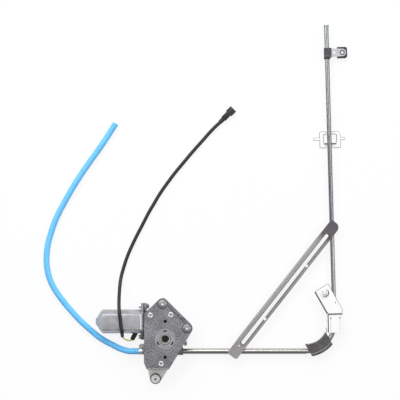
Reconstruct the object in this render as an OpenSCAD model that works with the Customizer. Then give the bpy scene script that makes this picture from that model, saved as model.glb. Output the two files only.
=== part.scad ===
// Electric window regulator: a worm motor and gear drive a toothed cable through a bent guide tube,
// and the cable lifts a glass carrier along the slotted upright of that tube.
// Lengths are in millimetres. The origin is on the hub axis in the front face of the gear housing,
// +X runs along the lower tube, +Y up the slotted rail and +Z out of the front face.

/* [Gear housing] */
// Depth of the casting from its front face to its back rim
housing_depth = 38; // [38:1:44]
// Thickness of the plate that closes the back
plate_t = 2; // [1.5:0.5:3]
// Hub axis to the left face, where the motor bolts on
left_w = 38; // [36:1:42]
// Hub axis up to the top of the left face
shoulder_y = 46; // [44:1:48]
// Hub axis down to the foot edge
foot_y = 54; // [53:1:58]
// Height of the slanted corner at the left of the foot
foot_rise = 11; // [8:1:14]
// Hub axis to the left end of the foot edge
foot_left = 33.7; // [31:0.5:35]
// Hub axis to the right end of the foot edge
foot_right = 7.6; // [7:0.2:12]
// Radius of the metal round each fixing bush
ear_r = 10.2; // [10:0.1:11]
// Depth of the front flange of the casting
flange_depth = 8; // [6:0.5:10]
// Overhang of the front flange past the body at the upper bushes
flange_over = 1.7; // [1:0.1:2.5]
// Upper fixing bush, across from the hub axis
top_ear_x = -4.8; // [-6:0.2:-3]
// Upper fixing bush, up from the hub axis
top_ear_y = 63; // [62:0.5:66]
// Right fixing bush, across from the hub axis
side_ear_x = 39; // [38:0.5:42]
// Right fixing bush, up from the hub axis
side_ear_y = 19.3; // [17:0.5:21]
// Lower fixing bush, across from the hub axis
low_ear_x = -18.2; // [-20:0.2:-16]
// Lower fixing bush, down from the hub axis
low_ear_y = 74.6; // [73:0.2:78]
// Rounding of the casting's plain corners
corner_r = 1.5; // [1:0.5:2.5]
// Front wall and floor over the gear chamber
front_wall = 13.5; // [13.5:0.5:14]
// Width of the lowered rim along the long upper right edge
rim_w = 5; // [4:0.5:6]
// Depth of the lowered rim and of the small cast steps
step_t = 0.9; // [0.6:0.1:1.2]

/* [Fasteners] */
// Radius of the shank of a fixing bush
bush_shank_r = 5; // [4.6:0.1:5.4]
// Radius of the domed head of an upper fixing bush
bush_head_r = 8; // [7.6:0.1:8.4]
// Radius of the recess round an upper fixing bush
bush_recess_r = 9.5; // [9.2:0.1:9.8]
// Radius of the fixing thread in each bush
thread_r = 2.5; // [2:0.1:3]
// Depth of the fixing thread
thread_depth = 22; // [16:1:26]
// Radius of the two tapped holes in the front face
tap_r = 2.9; // [2.5:0.1:3.2]
// Tapped holes, above and below the hub axis
tap_y = 32; // [31.6:0.1:33]
// Depth of the two tapped holes
tap_depth = 9; // [7:0.5:9.5]
// Radius of the closing rivets
rivet_r = 2; // [1.6:0.1:2.2]
// Radius of the heads of the closing rivets
rivet_head_r = 3.8; // [3.4:0.1:4.2]

/* [Hub] */
// Radius of the cover ring round the hub
ring_r = 19.2; // [18:0.2:20]
// Outer radius of the hub bush
hub_bush_r = 9.6; // [9.2:0.1:10.2]
// Radius of the open hub bore
hub_bore_r = 7.3; // [7:0.1:7.6]
// Depth of the open hub bore
hub_bore_depth = 8; // [7:0.5:9]

/* [Gear train] */
// Module of the worm gear
gear_module = 1; // [0.98:0.01:1.02]
// Teeth on the worm wheel
wheel_teeth = 51; // [50:1:52]
// Pitch radius of the worm
worm_r = 5; // [4.8:0.1:5.2]
// Length of the thread of the worm
worm_len = 20; // [16:1:21]
// Face width of the worm wheel
wheel_w = 8; // [6:0.5:9]
// Depth of the worm axis behind the front face
worm_depth = 19; // [18.8:0.1:19.2]
// Radius at which the drive gear pushes the cable
drive_r = 24.5; // [24:0.1:25]
// Teeth on the drive gear
drive_teeth = 40; // [30:2:48]
// Face width of the drive gear
drive_w = 8; // [7.4:0.1:8.4]
// Radius of the solid journal hub that carries both gears
hub_body_r = 9; // [8.6:0.1:9.4]
// Radius of the fixed gear spindle
spindle_r = 5; // [4.5:0.1:5.5]

/* [Motor] */
// Radius of the round sides of the motor can
can_r = 21.5; // [21:0.1:22]
// Half depth of the motor can between its flats
can_flat = 17.2; // [17:0.1:17.6]
// Length of the motor can
can_len = 71; // [68:1:76]
// Wall of the motor can
can_wall = 1.6; // [1.2:0.1:2]
// Length of the tapered end of the can
can_taper = 6; // [4:0.5:8]
// Radius of the bearing boss at the end of the can
end_boss_r = 10; // [9:0.25:11]
// Length of the bearing boss
end_boss_len = 10; // [8:0.25:12]
// Thickness of the motor flange
flange_t = 5; // [4:0.25:6]
// Thickness of the flange gasket
gasket_t = 1.3; // [1:0.1:1.6]
// Motor axis to each flange screw
flange_screw_y = 27.5; // [27.2:0.1:28]
// Radius of the motor shaft
shaft_r = 2.5; // [2.2:0.1:2.8]
// Radius of the laminated armature core
core_r = 14; // [13:0.1:14.2]
// End of the laminated armature core to the end of the can
core_back = 17; // [16:1:20]
// Slots in the armature core
core_slots = 10; // [8:1:12]

/* [Tubes] */
// Outer radius of the guide tube and rail
rail_r = 4.1; // [4:0.05:4.3]
// Inner radius of the guide tube and rail
rail_bore_r = 3.1; // [3:0.05:3.2]
// Outer radius of the support tube over the lower run
support_r = 5; // [4.9:0.05:5.3]
// Hub axis to the start of the bend
bend_x = 255; // [240:1:270]
// Radius of the bend along the middle of the tube
bend_r = 51; // [50:0.5:53]
// Lean of the rail from upright, in degrees
lean_angle = 1.6; // [1:0.1:2]
// Length of the straight rail above the bend
rail_len = 538; // [530:1:550]
// Width of the slot along the rail
slot_w = 3.4; // [3.2:0.1:3.6]
// Depth of the cable plane behind the front face
cable_depth = 31; // [30.9:0.05:31.1]
// Radius of the toothed cable
cable_r = 2.4; // [2.2:0.05:2.5]

/* [Carrier] */
// Travel of the glass carrier along the rail
travel = 430; // [400:5:440]
// Length of the slider shoe
shoe_len = 14; // [12:0.5:16]
// Thickness of the carrier plate
carrier_t = 2; // [1.6:0.1:2.2]
// Front of the tube axis plane to the back of the carrier plate
carrier_gap = 9.5; // [9.2:0.1:10]
// Carrier plate, rail axis to its right edge
carrier_right = 13.8; // [13.6:0.1:14.6]
// Carrier plate, rail axis to its left edge
carrier_left = 13; // [12:0.1:14]
// Width of the slanted arm of the carrier
arm_w = 28; // [26:0.5:29]
// Rail axis to the glass nut, across
nut_x = 17.4; // [16:0.2:18.4]
// Foot of the rail to the glass nut, along the rail
nut_y = 54.8; // [53:0.2:56]
// Radius of the seat of the glass nut
nut_seat_r = 8.4; // [7.6:0.1:8.6]
// Height of the glass nut over the carrier
nut_h = 5; // [4:0.25:6]

/* [Brace] */
// Hub axis to the crossing of the brace and the lower tube
brace_foot_x = 126; // [110:1:140]
// Foot of the rail to the crossing of the brace, along the rail
brace_head_y = 171; // [160:1:180]
// Width of the brace
brace_w = 21.5; // [19:0.5:22]
// Thickness of the brace sheet
brace_t = 1.8; // [1.4:0.1:2]
// Overhang of the brace past the rail
brace_over = 8.5; // [7:0.25:8.5]
// Overhang of the brace past the lower tube
brace_foot_over = 10.5; // [8:0.25:12]
// Width of the long slot in the brace
brace_slot_w = 6.5; // [5:0.25:7.5]
// Depth of the folded edges of the brace
brace_fold = 6; // [4:0.5:8]

/* [Brackets] */
// Width across the trough of the corner saddle
saddle_w = 22; // [20:0.5:24]
// Length of the corner saddle
saddle_len = 43; // [38:0.5:46]
// Width of the mid bracket
bracket_w = 38; // [36:0.5:40]
// Height of the mid bracket
bracket_h = 30; // [29:0.5:32]
// Foot of the rail to the middle of the mid bracket
bracket_y = 331; // [300:1:360]
// Upper end of the rail down to the upper clip
clip_drop = 50; // [38:1:54]
// Rail axis to the eyelet of the upper clip
eyelet_x = 27.6; // [27:0.1:30]
// Radius of the hole through the eyelet
eyelet_r = 2.7; // [2.4:0.1:3]
// Height and width of the rubber pad of the upper clip
pad_h = 20; // [18:0.5:22]

/* [Hose and lead] */
// Outer radius of the tail hose
hose_r = 5.5; // [5.3:0.1:5.7]
// Inner radius of the tail hose
hose_bore_r = 3.9; // [3.7:0.1:4]
// Radius of the sleeve over the lead
sleeve_r = 3; // [2.8:0.1:3.1]
// Radius of one wire
wire_r = 0.9; // [0.7:0.1:1]
// Width of the connector's front
plug_w = 14; // [12:0.5:15]

/* [Hidden] */
$fn = 64;

// Cuts run past the faces that they open by this much
over = 0.6;
// Gap between round parts that are pressed or seated together
seat = 0.03;
// Gap round a shaft that turns or slides
run_gap = 0.05;
// Gap between parts that pass each other
pass_gap = 0.4;
// Sides of a swept tube
hose_sides = 10;
lead_sides = 8;
hex_sides = 6;

// Levels behind the front face
back_z = -housing_depth;
floor_z = back_z - plate_t;
worm_z = -worm_depth;
cable_z = -cable_depth;
cable_y = -drive_r;

// Gear train
wheel_r = gear_module * wheel_teeth / 2;
axis_y = wheel_r + worm_r;
root_share = 1.25;
pressure_angle = 20;
lead = PI * gear_module;
chamber_share = 2.5;
chamber_r = wheel_r + chamber_share * gear_module;
tunnel_r = worm_r + 2 * gear_module;
play_share = 0.1;
tooth_play = play_share * gear_module;
wheel_twist = wheel_w * gear_module / (2 * worm_r * wheel_r) * 180 / PI;
spindle_flange_t = 1.2;
hub_low_z = back_z + spindle_flange_t + pass_gap;
journal_step = 0.6;
journal_r = hub_bore_r - journal_step;
hub_bush_rise = 1.2;

// Motor, from the left face outwards
gasket_x = -left_w - gasket_t;
flange_x = gasket_x - flange_t;
can_end_x = flange_x - can_len;
shaft_tail = 7;
shaft_end_x = worm_len / 2 + shaft_tail;
bearing_len = 4;
worm_end_gap = 2;

// Tubes
socket_r = 7;
socket_x = 32;
socket_grip = 8.5;
tube_in_x = socket_x - socket_grip;
turn_angle = 90 + lean_angle;
bend_y = cable_y + bend_r;
rail_x = bend_x + bend_r * cos(lean_angle);
rail_y = bend_y + bend_r * sin(lean_angle);
shoe_y = 1;
slot_y = shoe_y - over;
slot_spare = 4;
slot_end_y = shoe_y + shoe_len + travel + slot_spare;
clip_y = rail_len - clip_drop;
// Wall that the tube gains on each side where it is bent
bend_swell = 0.02;

// Brace, from its crossing of the lower tube to its crossing of the rail
brace_dx = rail_x - brace_head_y * sin(lean_angle) - brace_foot_x;
brace_dy = rail_y + brace_head_y * cos(lean_angle) - cable_y;
brace_angle = atan2(brace_dy, brace_dx);
brace_run = norm([brace_dx, brace_dy]);

// Convex outline through rounded corners: each corner is [x, y, radius], listed anticlockwise
function side_of(a, b) =
  let (d = [b.x - a.x, b.y - a.y], l = norm(d), u = d / l, s = (a.z - b.z) / l, c = sqrt(1 - s * s),
       n = s * u + c * [u.y, -u.x])
  [[a.x, a.y] + a.z * n, [b.x, b.y] + b.z * n];

module outline(corners) {
  count = len(corners);
  polygon([for (i = [0 : count - 1]) for (p = side_of(corners[i], corners[(i + 1) % count])) p]);
  for (c = corners)
    if (c.z > 0)
      translate([c.x, c.y])
        circle(r = c.z);
}

// Puts a shape drawn along Z on a line along X
module along_x(x, y, z) {
  translate([x, y, z])
    rotate([0, 90, 0])
      children();
}

// Round bar or tube along X between two places
module x_tube(x0, x1, y, z, r, bore = 0) {
  along_x(x0, y, z)
    difference() {
      cylinder(r = r, h = x1 - x0);
      if (bore > 0)
        translate([0, 0, -over])
          cylinder(r = bore, h = x1 - x0 + 2 * over);
    }
}

// Round bar or tube along Z between two levels
module z_tube(z0, z1, r, bore = 0) {
  translate([0, 0, z0])
    difference() {
      cylinder(r = r, h = z1 - z0);
      if (bore > 0)
        translate([0, 0, -over])
          cylinder(r = bore, h = z1 - z0 + 2 * over);
    }
}

// Box between two corners
module span(a, b) {
  translate(a)
    cube(b - a);
}

// Rail frame: the foot of the rail is the origin, Y runs up the rail, Z is the depth from the tube axis
module on_rail() {
  translate([bend_x, bend_y, cable_z])
    rotate([0, 0, lean_angle])
      translate([bend_r, 0, 0])
        children();
}

// Bar or tube that follows the bend from a place on the lower run to a height on the rail
module tube_path(x0, y1, r, bore = 0) {
  x_tube(x0, bend_x, cable_y, cable_z, r, bore);
  translate([bend_x, bend_y, cable_z])
    rotate([0, 0, -90])
      rotate_extrude(angle = turn_angle)
        translate([bend_r, 0])
          if (bore > 0)
            difference() {
              circle(r = r + bend_swell);
              circle(r = bore - bend_swell);
            }
          else
            circle(r = r);
  on_rail()
    rotate([-90, 0, 0])
      z_tube(0, y1, r, bore);
}

// Ring of points round a place on a route
function unit(v) = v / norm(v);
function ring_at(p, t, r, sides, aside) =
  let (side = unit(cross(t, [0, 0, 1])), up = cross(side, t))
  [for (i = [0 : sides - 1])
    p + aside * side + r * (cos(i * 360 / sides) * side + sin(i * 360 / sides) * up)];

// Tube that sweeps along the points of a route, or runs a distance to the side of it
module swept(route, r, sides, aside = 0) {
  last = len(route) - 1;
  tangents = [for (i = [0 : last]) unit(route[min(i + 1, last)] - route[max(i - 1, 0)])];
  points = [for (i = [0 : last]) each ring_at(route[i], tangents[i], r, sides, aside)];
  walls = [for (i = [0 : last - 1]) for (j = [0 : sides - 1])
    let (k = (j + 1) % sides, a = i * sides, b = a + sides)
    each [[a + j, b + j, b + k], [a + j, b + k, a + k]]];
  start = [for (j = [0 : sides - 1]) j];
  end = [for (j = [sides - 1 : -1 : 0]) last * sides + j];
  polyhedron(points = points, faces = concat([start], walls, [end]));
}

// Places that several parts share
upper_ears = [[top_ear_x, top_ear_y], [side_ear_x, side_ear_y]];
rivet_shares = [[-0.7, 0.93], [0.265, 0.95], [-0.19, -0.955]];
rivet_places = [for (s = rivet_shares) [s.x * left_w, s.y * shoulder_y]];
mark_shares = [[-0.7, 0.22], [0.81, 0]];
mark_places = [for (s = mark_shares) [s.x * left_w, s.y * shoulder_y]];
flange_screws = [axis_y - flange_screw_y, axis_y + flange_screw_y];
lug_r = 5.5;
screw_r = 2;
screw_share = 0.75;
screw_in = screw_share * (left_w - chamber_r);

// Outline of the casting, and of the plate behind it without its lower ear
function casting_corners(r) = [
  [side_ear_x, side_ear_y, r],
  [top_ear_x, top_ear_y, r],
  [corner_r - left_w, shoulder_y - corner_r, corner_r],
  [corner_r - left_w, foot_rise - foot_y, corner_r],
  [corner_r - foot_left, corner_r - foot_y, corner_r],
  [foot_right - corner_r, corner_r - foot_y, corner_r]
];

// The gear chamber, the worm tunnel and the cable bores
module housing_hollows() {
  translate([0, 0, back_z - over])
    cylinder(r = chamber_r, h = housing_depth - front_wall + over);
  x_tube(-left_w - over, shaft_end_x + worm_end_gap, axis_y, worm_z, tunnel_r);
  x_tube(-left_w - over, socket_x + over, cable_y, cable_z, cable_r + pass_gap);
  x_tube(tube_in_x, socket_x + over, cable_y, cable_z, support_r + seat);
  x_tube(-left_w - over, -left_w + spigot_in, cable_y, cable_z, hose_bore_r - seat);
  z_tube(-front_wall - over, over, hub_bush_r + seat);
  z_tube(-ring_t, over, ring_r + seat);
}

// Lug that takes the upper flange screw beyond the left face
lug_len = 8.5;
ring_t = 1.5;
spigot_in = 9;
cast_lug = [5, 7, 6];
mark_r = 3;
mark_t = 0.4;

module gear_housing() {
  color("darkgray")
    difference() {
      union() {
        translate([0, 0, back_z])
          linear_extrude(housing_depth - flange_depth)
            outline(casting_corners(ear_r - flange_over));
        translate([0, 0, -flange_depth])
          linear_extrude(flange_depth)
            outline(casting_corners(ear_r));
        x_tube(-left_w, -left_w + lug_len, flange_screws[1], worm_z, lug_r);
        along_x(-left_w + lug_len, flange_screws[1], worm_z)
          cylinder(r1 = lug_r, r2 = screw_r, h = lug_r - screw_r);
        span([-left_w, shoulder_y - lug_r, worm_z - lug_r],
             [-left_w + lug_len, flange_screws[1], worm_z + lug_r]);
        x_tube(foot_right, socket_x, cable_y, cable_z, socket_r);
        translate([side_ear_x - cast_lug.x, -cast_lug.y - cast_lug.x, -cast_lug.z * 2])
          cube(cast_lug);
        for (p = mark_places)
          translate(p)
            cylinder(r = mark_r, h = mark_t);
      }
      housing_hollows();
      long_edge_rim();
      for (p = upper_ears)
        translate(p) {
          z_tube(back_z - over, over, bush_shank_r + seat);
          z_tube(-recess_t, over, bush_recess_r);
        }
      for (p = rivet_places)
        translate(p)
          z_tube(back_z - over, over, rivet_r + seat);
      for (y = [-tap_y, tap_y])
        translate([0, y, 0]) {
          z_tube(-tap_depth, over, tap_r);
          z_tube(-step_t / 2, over, tap_r + 2 * step_t);
        }
      for (y = flange_screws)
        x_tube(-left_w - over, -left_w + screw_in + over, y, worm_z, screw_r + seat);
    }
}
recess_t = 2;

// The step along the long edge between the two upper ears
module long_edge_rim() {
  run = [top_ear_x - side_ear_x, top_ear_y - side_ear_y];
  translate([side_ear_x, side_ear_y, -step_t])
    rotate([0, 0, atan2(run.y, run.x)])
      translate([bush_recess_r, -ear_r - over, 0])
        cube([norm(run) - 2 * bush_recess_r, rim_w + over, step_t + over]);
}

module base_plate() {
  color("lightgray")
    difference() {
      translate([0, 0, floor_z])
        linear_extrude(plate_t) {
          outline(casting_corners(ear_r - flange_over));
          outline([
            [low_ear_x, -low_ear_y, ear_r],
            [foot_right - corner_r, corner_r - foot_y, corner_r],
            [corner_r - foot_left, corner_r - foot_y, corner_r]
          ]);
        }
      for (p = concat(upper_ears, [[low_ear_x, -low_ear_y]]))
        translate(p)
          z_tube(floor_z - over, back_z + over, bush_shank_r + seat);
      for (p = rivet_places)
        translate(p)
          z_tube(floor_z - over, back_z + over, rivet_r + seat);
      z_tube(floor_z - over, back_z + over, spindle_tail_r + seat);
    }
}
spindle_tail_r = 3;
dimple_share = 0.8;

module housing_rivets() {
  color("silver")
    for (p = rivet_places)
      translate(p)
        difference() {
          union() {
            z_tube(floor_z, 0, rivet_r);
            z_tube(0, step_t, rivet_head_r);
          }
          z_tube(step_t / 2, step_t + over, dimple_share * rivet_r);
        }
}

// Domed head: a slice of a ball over a plain rim
module domed_head(r, h) {
  ball = (r * r + h * h) / (2 * h);
  intersection() {
    translate([0, 0, h - ball])
      sphere(r = ball);
    z_tube(0, h, r);
  }
}

module fixing_bushes() {
  color("silver")
    for (p = upper_ears)
      translate(p)
        difference() {
          union() {
            z_tube(floor_z, -recess_t, bush_shank_r);
            z_tube(-recess_t, 0, bush_head_r);
            domed_head(bush_head_r, head_rise);
          }
          z_tube(floor_z - over, floor_z + thread_depth, thread_r);
        }
}
head_rise = 1.8;

module bush_seals() {
  color("dimgray")
    for (p = upper_ears)
      translate(p)
        z_tube(-recess_t, -recess_t / 4, bush_recess_r - seat, bush_head_r + seat);
}

module lower_bush() {
  color("silver")
    translate([low_ear_x, -low_ear_y, 0])
      difference() {
        union() {
          z_tube(floor_z, back_z, bush_shank_r);
          z_tube(back_z, back_z + low_bush_h, bush_head_r);
        }
        z_tube(floor_z - over, floor_z + low_bush_h - step_t, thread_r);
        z_tube(back_z + low_bush_h - step_t / 2, back_z + low_bush_h + over, thread_r / 2);
      }
}
low_bush_h = 9;
grommet_share = 0.7;

module lower_grommet() {
  color("dimgray")
    translate([low_ear_x, -low_ear_y, 0])
      z_tube(back_z, back_z + grommet_share * low_bush_h, bush_recess_r, bush_head_r + seat);
}

module hub_ring() {
  color("darkgray")
    difference() {
      z_tube(-ring_t, step_t / 2, ring_r, hub_bush_r + seat);
      for (i = [1 : ring_slots])
        rotate([0, 0, 90 + i * 360 / ring_slots])
          translate([(ring_r + hub_bush_r) / 2, 0, 0])
            rotate([0, 0, 90])
              translate([-ring_slot.x / 2, -ring_slot.y / 2, -ring_t / 2])
                cube([ring_slot.x, ring_slot.y, ring_t + over]);
    }
}
ring_slots = 3;
ring_slot = [4.5, 1.6];

module hub_bush() {
  color("silver")
    difference() {
      z_tube(-front_wall, hub_bush_rise, hub_bush_r);
      z_tube(-hub_bore_depth, hub_bush_rise + over, hub_bore_r);
      z_tube(-front_wall - over, -hub_bore_depth + over, journal_r + run_gap);
    }
}

module gear_spindle() {
  color("gray") {
    z_tube(floor_z, back_z, spindle_tail_r);
    z_tube(back_z, back_z + spindle_flange_t, hub_body_r);
    z_tube(back_z + spindle_flange_t, -front_wall - spindle_r, spindle_r);
  }
}

// Hub that turns on the spindle and in the hub bush, with a square socket for a crank
module drive_hub() {
  color("gray")
    difference() {
      union() {
        z_tube(hub_low_z, -front_wall - pass_gap, hub_body_r);
        z_tube(-front_wall - pass_gap, -hub_bore_depth - pass_gap, journal_r);
      }
      z_tube(hub_low_z - over, -front_wall - spindle_r + pass_gap, spindle_r + run_gap);
      translate([-journal_r / 2, -journal_r / 2, -front_wall])
        cube([journal_r, journal_r, front_wall]);
    }
}

// Tooth of the worm wheel from root to tip, half widths at root, pitch and tip
function tooth_side(root, tip) =
  let (half = 90 / wheel_teeth - tooth_play / wheel_r * 180 / PI,
       ramp = tan(pressure_angle) * 180 / PI / wheel_r)
  [[root, half + ramp * (wheel_r - root)], [wheel_r, half], [tip, half - ramp * (tip - wheel_r)]];

module worm_wheel() {
  root = wheel_r - root_share * gear_module;
  tip = wheel_r + gear_module;
  side = tooth_side(root, tip);
  color("wheat")
    difference() {
      union() {
        translate([0, 0, worm_z - wheel_w / 2])
          linear_extrude(wheel_w, twist = -wheel_twist, slices = 2)
            rotate([0, 0, 90 - wheel_twist / 2])
              polygon([for (i = [0 : wheel_teeth - 1]) each concat(
                [for (p = side) p.x * [cos(i * 360 / wheel_teeth - p.y), sin(i * 360 / wheel_teeth - p.y)]],
                [for (k = [2, 1, 0]) let (p = side[k])
                  p.x * [cos(i * 360 / wheel_teeth + p.y), sin(i * 360 / wheel_teeth + p.y)]])]);
      }
      z_tube(worm_z - wheel_w, worm_z + wheel_w, hub_body_r + seat);
      for (z = [worm_z - wheel_w / 2 - over, worm_z + wheel_w / 4])
        translate([0, 0, z])
          z_tube(0, wheel_w / 4 + over, root - 2 * gear_module, hub_body_r + 2 * gear_module);
    }
}

module drive_damper() {
  color("dimgray")
    difference() {
      z_tube(cable_z + drive_w / 2, worm_z - wheel_w / 2, damper_share * wheel_r, hub_body_r + seat);
      for (i = [1 : damper_holes])
        rotate([0, 0, i * 360 / damper_holes])
          translate([damper_hole_share * wheel_r, 0, cable_z])
            cylinder(r = gear_module * 2, h = cable_depth);
    }
}

damper_share = 0.75;
damper_hole_share = 0.55;
damper_holes = 6;

// The throated gear whose teeth push the wound cable: notches cut across a grooved disc
module drive_gear() {
  groove_r = cable_r + pass_gap;
  tip_r = drive_r + wrap_share * groove_r;
  color("gray")
    difference() {
      translate([0, 0, cable_z - drive_w / 2])
        cylinder(r = tip_r, h = drive_w);
      translate([0, 0, cable_z])
        rotate_extrude() {
          translate([drive_r, 0])
            circle(r = groove_r);
          translate([drive_r, -groove_r])
            square([tip_r, 2 * groove_r]);
        }
      z_tube(cable_z - drive_w, cable_z + drive_w, hub_body_r + seat);
      for (i = [0 : drive_teeth - 1])
        rotate([0, 0, i * 360 / drive_teeth])
          translate([drive_r - groove_r, 0, cable_z - drive_w])
            linear_extrude(2 * drive_w)
              polygon([[0, -tooth_gap / 4], [groove_r * 2, -tooth_gap / 2],
                       [groove_r * 2, tooth_gap / 2], [0, tooth_gap / 4]]);
    }
}
wrap_share = 0.4;
tooth_gap = PI * drive_r / drive_teeth;

// Motor can, drawn along its axis from the flange outwards
module can_shape(r, len, flat, taper) {
  intersection() {
    union() {
      cylinder(r = r, h = len - taper);
      translate([0, 0, len - taper])
        cylinder(r1 = r, r2 = r - taper_share * taper, h = taper);
    }
    translate([-flat, -r, 0])
      cube([2 * flat, 2 * r, len]);
  }
}

// Puts a shape on the motor axis, with Z running away from the housing
module on_motor(x) {
  translate([x, axis_y, worm_z])
    rotate([0, -90, 0])
      children();
}

module motor_can() {
  color("silver")
    difference() {
      on_motor(flange_x) {
        can_shape(can_r, can_len, can_flat, can_taper);
        cylinder(r = end_boss_r, h = can_len + boss_share * end_boss_len);
        translate([0, 0, can_len + boss_share * end_boss_len])
          cylinder(r1 = end_boss_r, r2 = boss_tip_share * end_boss_r, h = (1 - boss_share) * end_boss_len);
      }
      on_motor(flange_x + over) {
        can_shape(can_r - can_wall, can_len - can_wall + over, can_flat - can_wall, can_taper);
        cylinder(r = rear_bush_r + seat, h = can_len + end_boss_len - 2 * can_wall + over);
      }
      boot_cut();
    }
}
rear_bush_r = 5.5;
boss_share = 0.45;
boss_tip_share = 0.55;
taper_share = 0.7;

module rear_bearing() {
  color("darkgoldenrod")
    on_motor(can_end_x)
      z_tube(0, end_boss_len - 2 * can_wall, rear_bush_r, shaft_r + run_gap);
}

// Armature parts stand at these distances from the flange face
brush_at = 3;
comm_len = 9;
comm_at = 6;
coil_len = 7;
core_at = comm_at + comm_len + coil_len;
core_len = can_len - core_at - core_back;
magnet_over = 4;
magnet_len = core_len + 2 * magnet_over;
magnet_t = 4.4;
magnet_half = 42;

module field_magnets() {
  outer = can_r - can_wall - seat;
  color("dimgray")
    on_motor(flange_x - core_at - core_len / 2)
      for (a = [90, 270])
        rotate([0, 0, a - magnet_half])
          translate([0, 0, -magnet_len / 2])
            rotate_extrude(angle = 2 * magnet_half)
              translate([outer - magnet_t, 0])
                square([magnet_t, magnet_len]);
}

module armature_core() {
  color("slategray")
    on_motor(flange_x - core_at)
      difference() {
        z_tube(0, core_len, core_r, shaft_r + seat);
        for (i = [0 : core_slots - 1])
          rotate([0, 0, i * 360 / core_slots])
            translate([core_r / 2, -slot_half, -over])
              cube([core_r, 2 * slot_half, core_len + 2 * over]);
      }
}
slot_half = 1.3;

module windings() {
  color("peru")
    on_motor(flange_x - core_at) {
      z_tube(-coil_len + pass_gap, -seat, core_r - 2 * slot_half, shaft_r + slot_half);
      z_tube(core_len + seat, core_len + coil_len, core_r - 2 * slot_half, shaft_r + slot_half);
      for (i = [0 : core_slots - 1])
        rotate([0, 0, i * 360 / core_slots])
          translate([core_r / 2 + pass_gap, pass_gap - slot_half, -slot_half])
            cube([core_r / 2 - slot_half - pass_gap, 2 * (slot_half - pass_gap), core_len + 2 * slot_half]);
    }
}

module commutator() {
  color("goldenrod")
    on_motor(flange_x - comm_at)
      difference() {
        z_tube(0, comm_len, comm_r, shaft_r + seat);
        for (i = [0 : core_slots - 1])
          rotate([0, 0, i * 360 / core_slots])
            translate([comm_r - pass_gap, -pass_gap / 2, -over])
              cube([comm_r, pass_gap, comm_len + 2 * over]);
      }
}
comm_r = 6;

brush_size = [4, 6.5];
brush_out = 6;
guide_wall = 1;

// Insulating plate across the can with a boxed guide for each brush
module brush_plate() {
  color("saddlebrown")
    on_motor(flange_x - brush_at)
      difference() {
        union() {
          intersection() {
            cylinder(r = can_r - can_wall - seat, h = plate_t);
            translate([seat + can_wall - can_flat, -can_r, 0])
              cube([2 * (can_flat - can_wall - seat), 2 * can_r, plate_t]);
          }
          for (s = [-1, 1])
            translate([-brush_size.x / 2 - guide_wall, s * (comm_r + brush_out) - brush_out / 2, 0])
              cube([brush_size.x + 2 * guide_wall, brush_out, comm_at + brush_size.y - brush_at]);
        }
        translate([0, 0, -over])
          cylinder(r = comm_r + pass_gap, h = can_len / 2);
        for (s = [-1, 1])
          translate([-brush_size.x / 2 - seat, s * (comm_r + brush_out) - brush_out, plate_t])
            cube([brush_size.x + 2 * seat, 2 * brush_out, brush_size.y + 2 * seat]);
      }
}

module carbon_brushes() {
  color("black")
    on_motor(flange_x - brush_at)
      for (s = [0, 180])
        rotate([0, 0, s])
          translate([-brush_size.x / 2, comm_r + run_gap, plate_t + seat])
            cube([brush_size.x, brush_out, brush_size.y]);
}

roll_len_share = 0.8;
roll_bore_share = 0.6;

// A rolled strip spring behind each brush
module brush_springs() {
  roll_r = brush_size.x / 2;
  color("gray")
    on_motor(flange_x - brush_at)
      for (s = [0, 180])
        rotate([0, 0, s])
          translate([0, comm_r + run_gap + brush_out + roll_r + seat, plate_t + seat])
            z_tube(0, roll_len_share * brush_size.y, roll_r, roll_bore_share * roll_r);
}

waist_shift_share = 0.2;
waist_share = 0.9;

// Outline of the motor flange, drawn in the plane across the motor axis
module flange_outline() {
  intersection() {
    outline([
      [0, flange_screw_y, lug_r],
      [-waist_shift_share * can_r, 0, waist_share * can_r],
      [0, -flange_screw_y, lug_r],
      [waist_shift_share * can_r, 0, waist_share * can_r]
    ]);
    translate([-can_flat, -can_len])
      square([2 * can_flat, 2 * can_len]);
  }
}

module flange_plate(t, bore) {
  linear_extrude(t)
    difference() {
      flange_outline();
      circle(r = bore);
      for (s = [-1, 1])
        translate([0, s * flange_screw_y])
          circle(r = screw_r + seat);
    }
}

module motor_flange() {
  color("darkgray")
    on_motor(gasket_x)
      flange_plate(flange_t, tunnel_r);
}

module motor_gasket() {
  color("black")
    on_motor(-left_w)
      flange_plate(gasket_t, tunnel_r);
}

head_share = 1.8;
bearing_share = 0.8;

module motor_screws() {
  head_h = head_share * screw_r;
  color("silver")
    for (y = flange_screws) {
      x_tube(flange_x, -left_w + screw_in, y, worm_z, screw_r);
      along_x(flange_x - head_h, y, worm_z)
        cylinder(r = 2 * screw_r, h = head_h, $fn = hex_sides);
    }
}

module front_bearing() {
  color("darkgoldenrod")
    x_tube(gasket_x - bearing_share * flange_t, -left_w + bearing_len, axis_y, worm_z, tunnel_r - seat,
           shaft_r + run_gap);
}

module worm_bearing() {
  color("darkgoldenrod")
    x_tube(shaft_end_x - bearing_len, shaft_end_x, axis_y, worm_z, tunnel_r - seat, shaft_r + run_gap);
}

module thrust_pad() {
  color("ivory")
    x_tube(shaft_end_x + seat, shaft_end_x + worm_end_gap, axis_y, worm_z, tunnel_r - seat);
}

module motor_shaft() {
  color("gray")
    x_tube(can_end_x - end_boss_len + 2 * can_wall, shaft_end_x - run_gap, axis_y, worm_z, shaft_r);
}

// Radius of the worm at a distance along it from the middle of its thread
tip_share = 0.9;
worm_root = worm_r - root_share * gear_module;
worm_tip = worm_r + tip_share * gear_module;
worm_sides = 16;
worm_steps_per_turn = 12;
function worm_radius(x) =
  let (slope = tan(pressure_angle), half = lead / 4 - tooth_play)
  max(worm_root, min(worm_tip, worm_r + (half - abs(x)) / slope));

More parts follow.
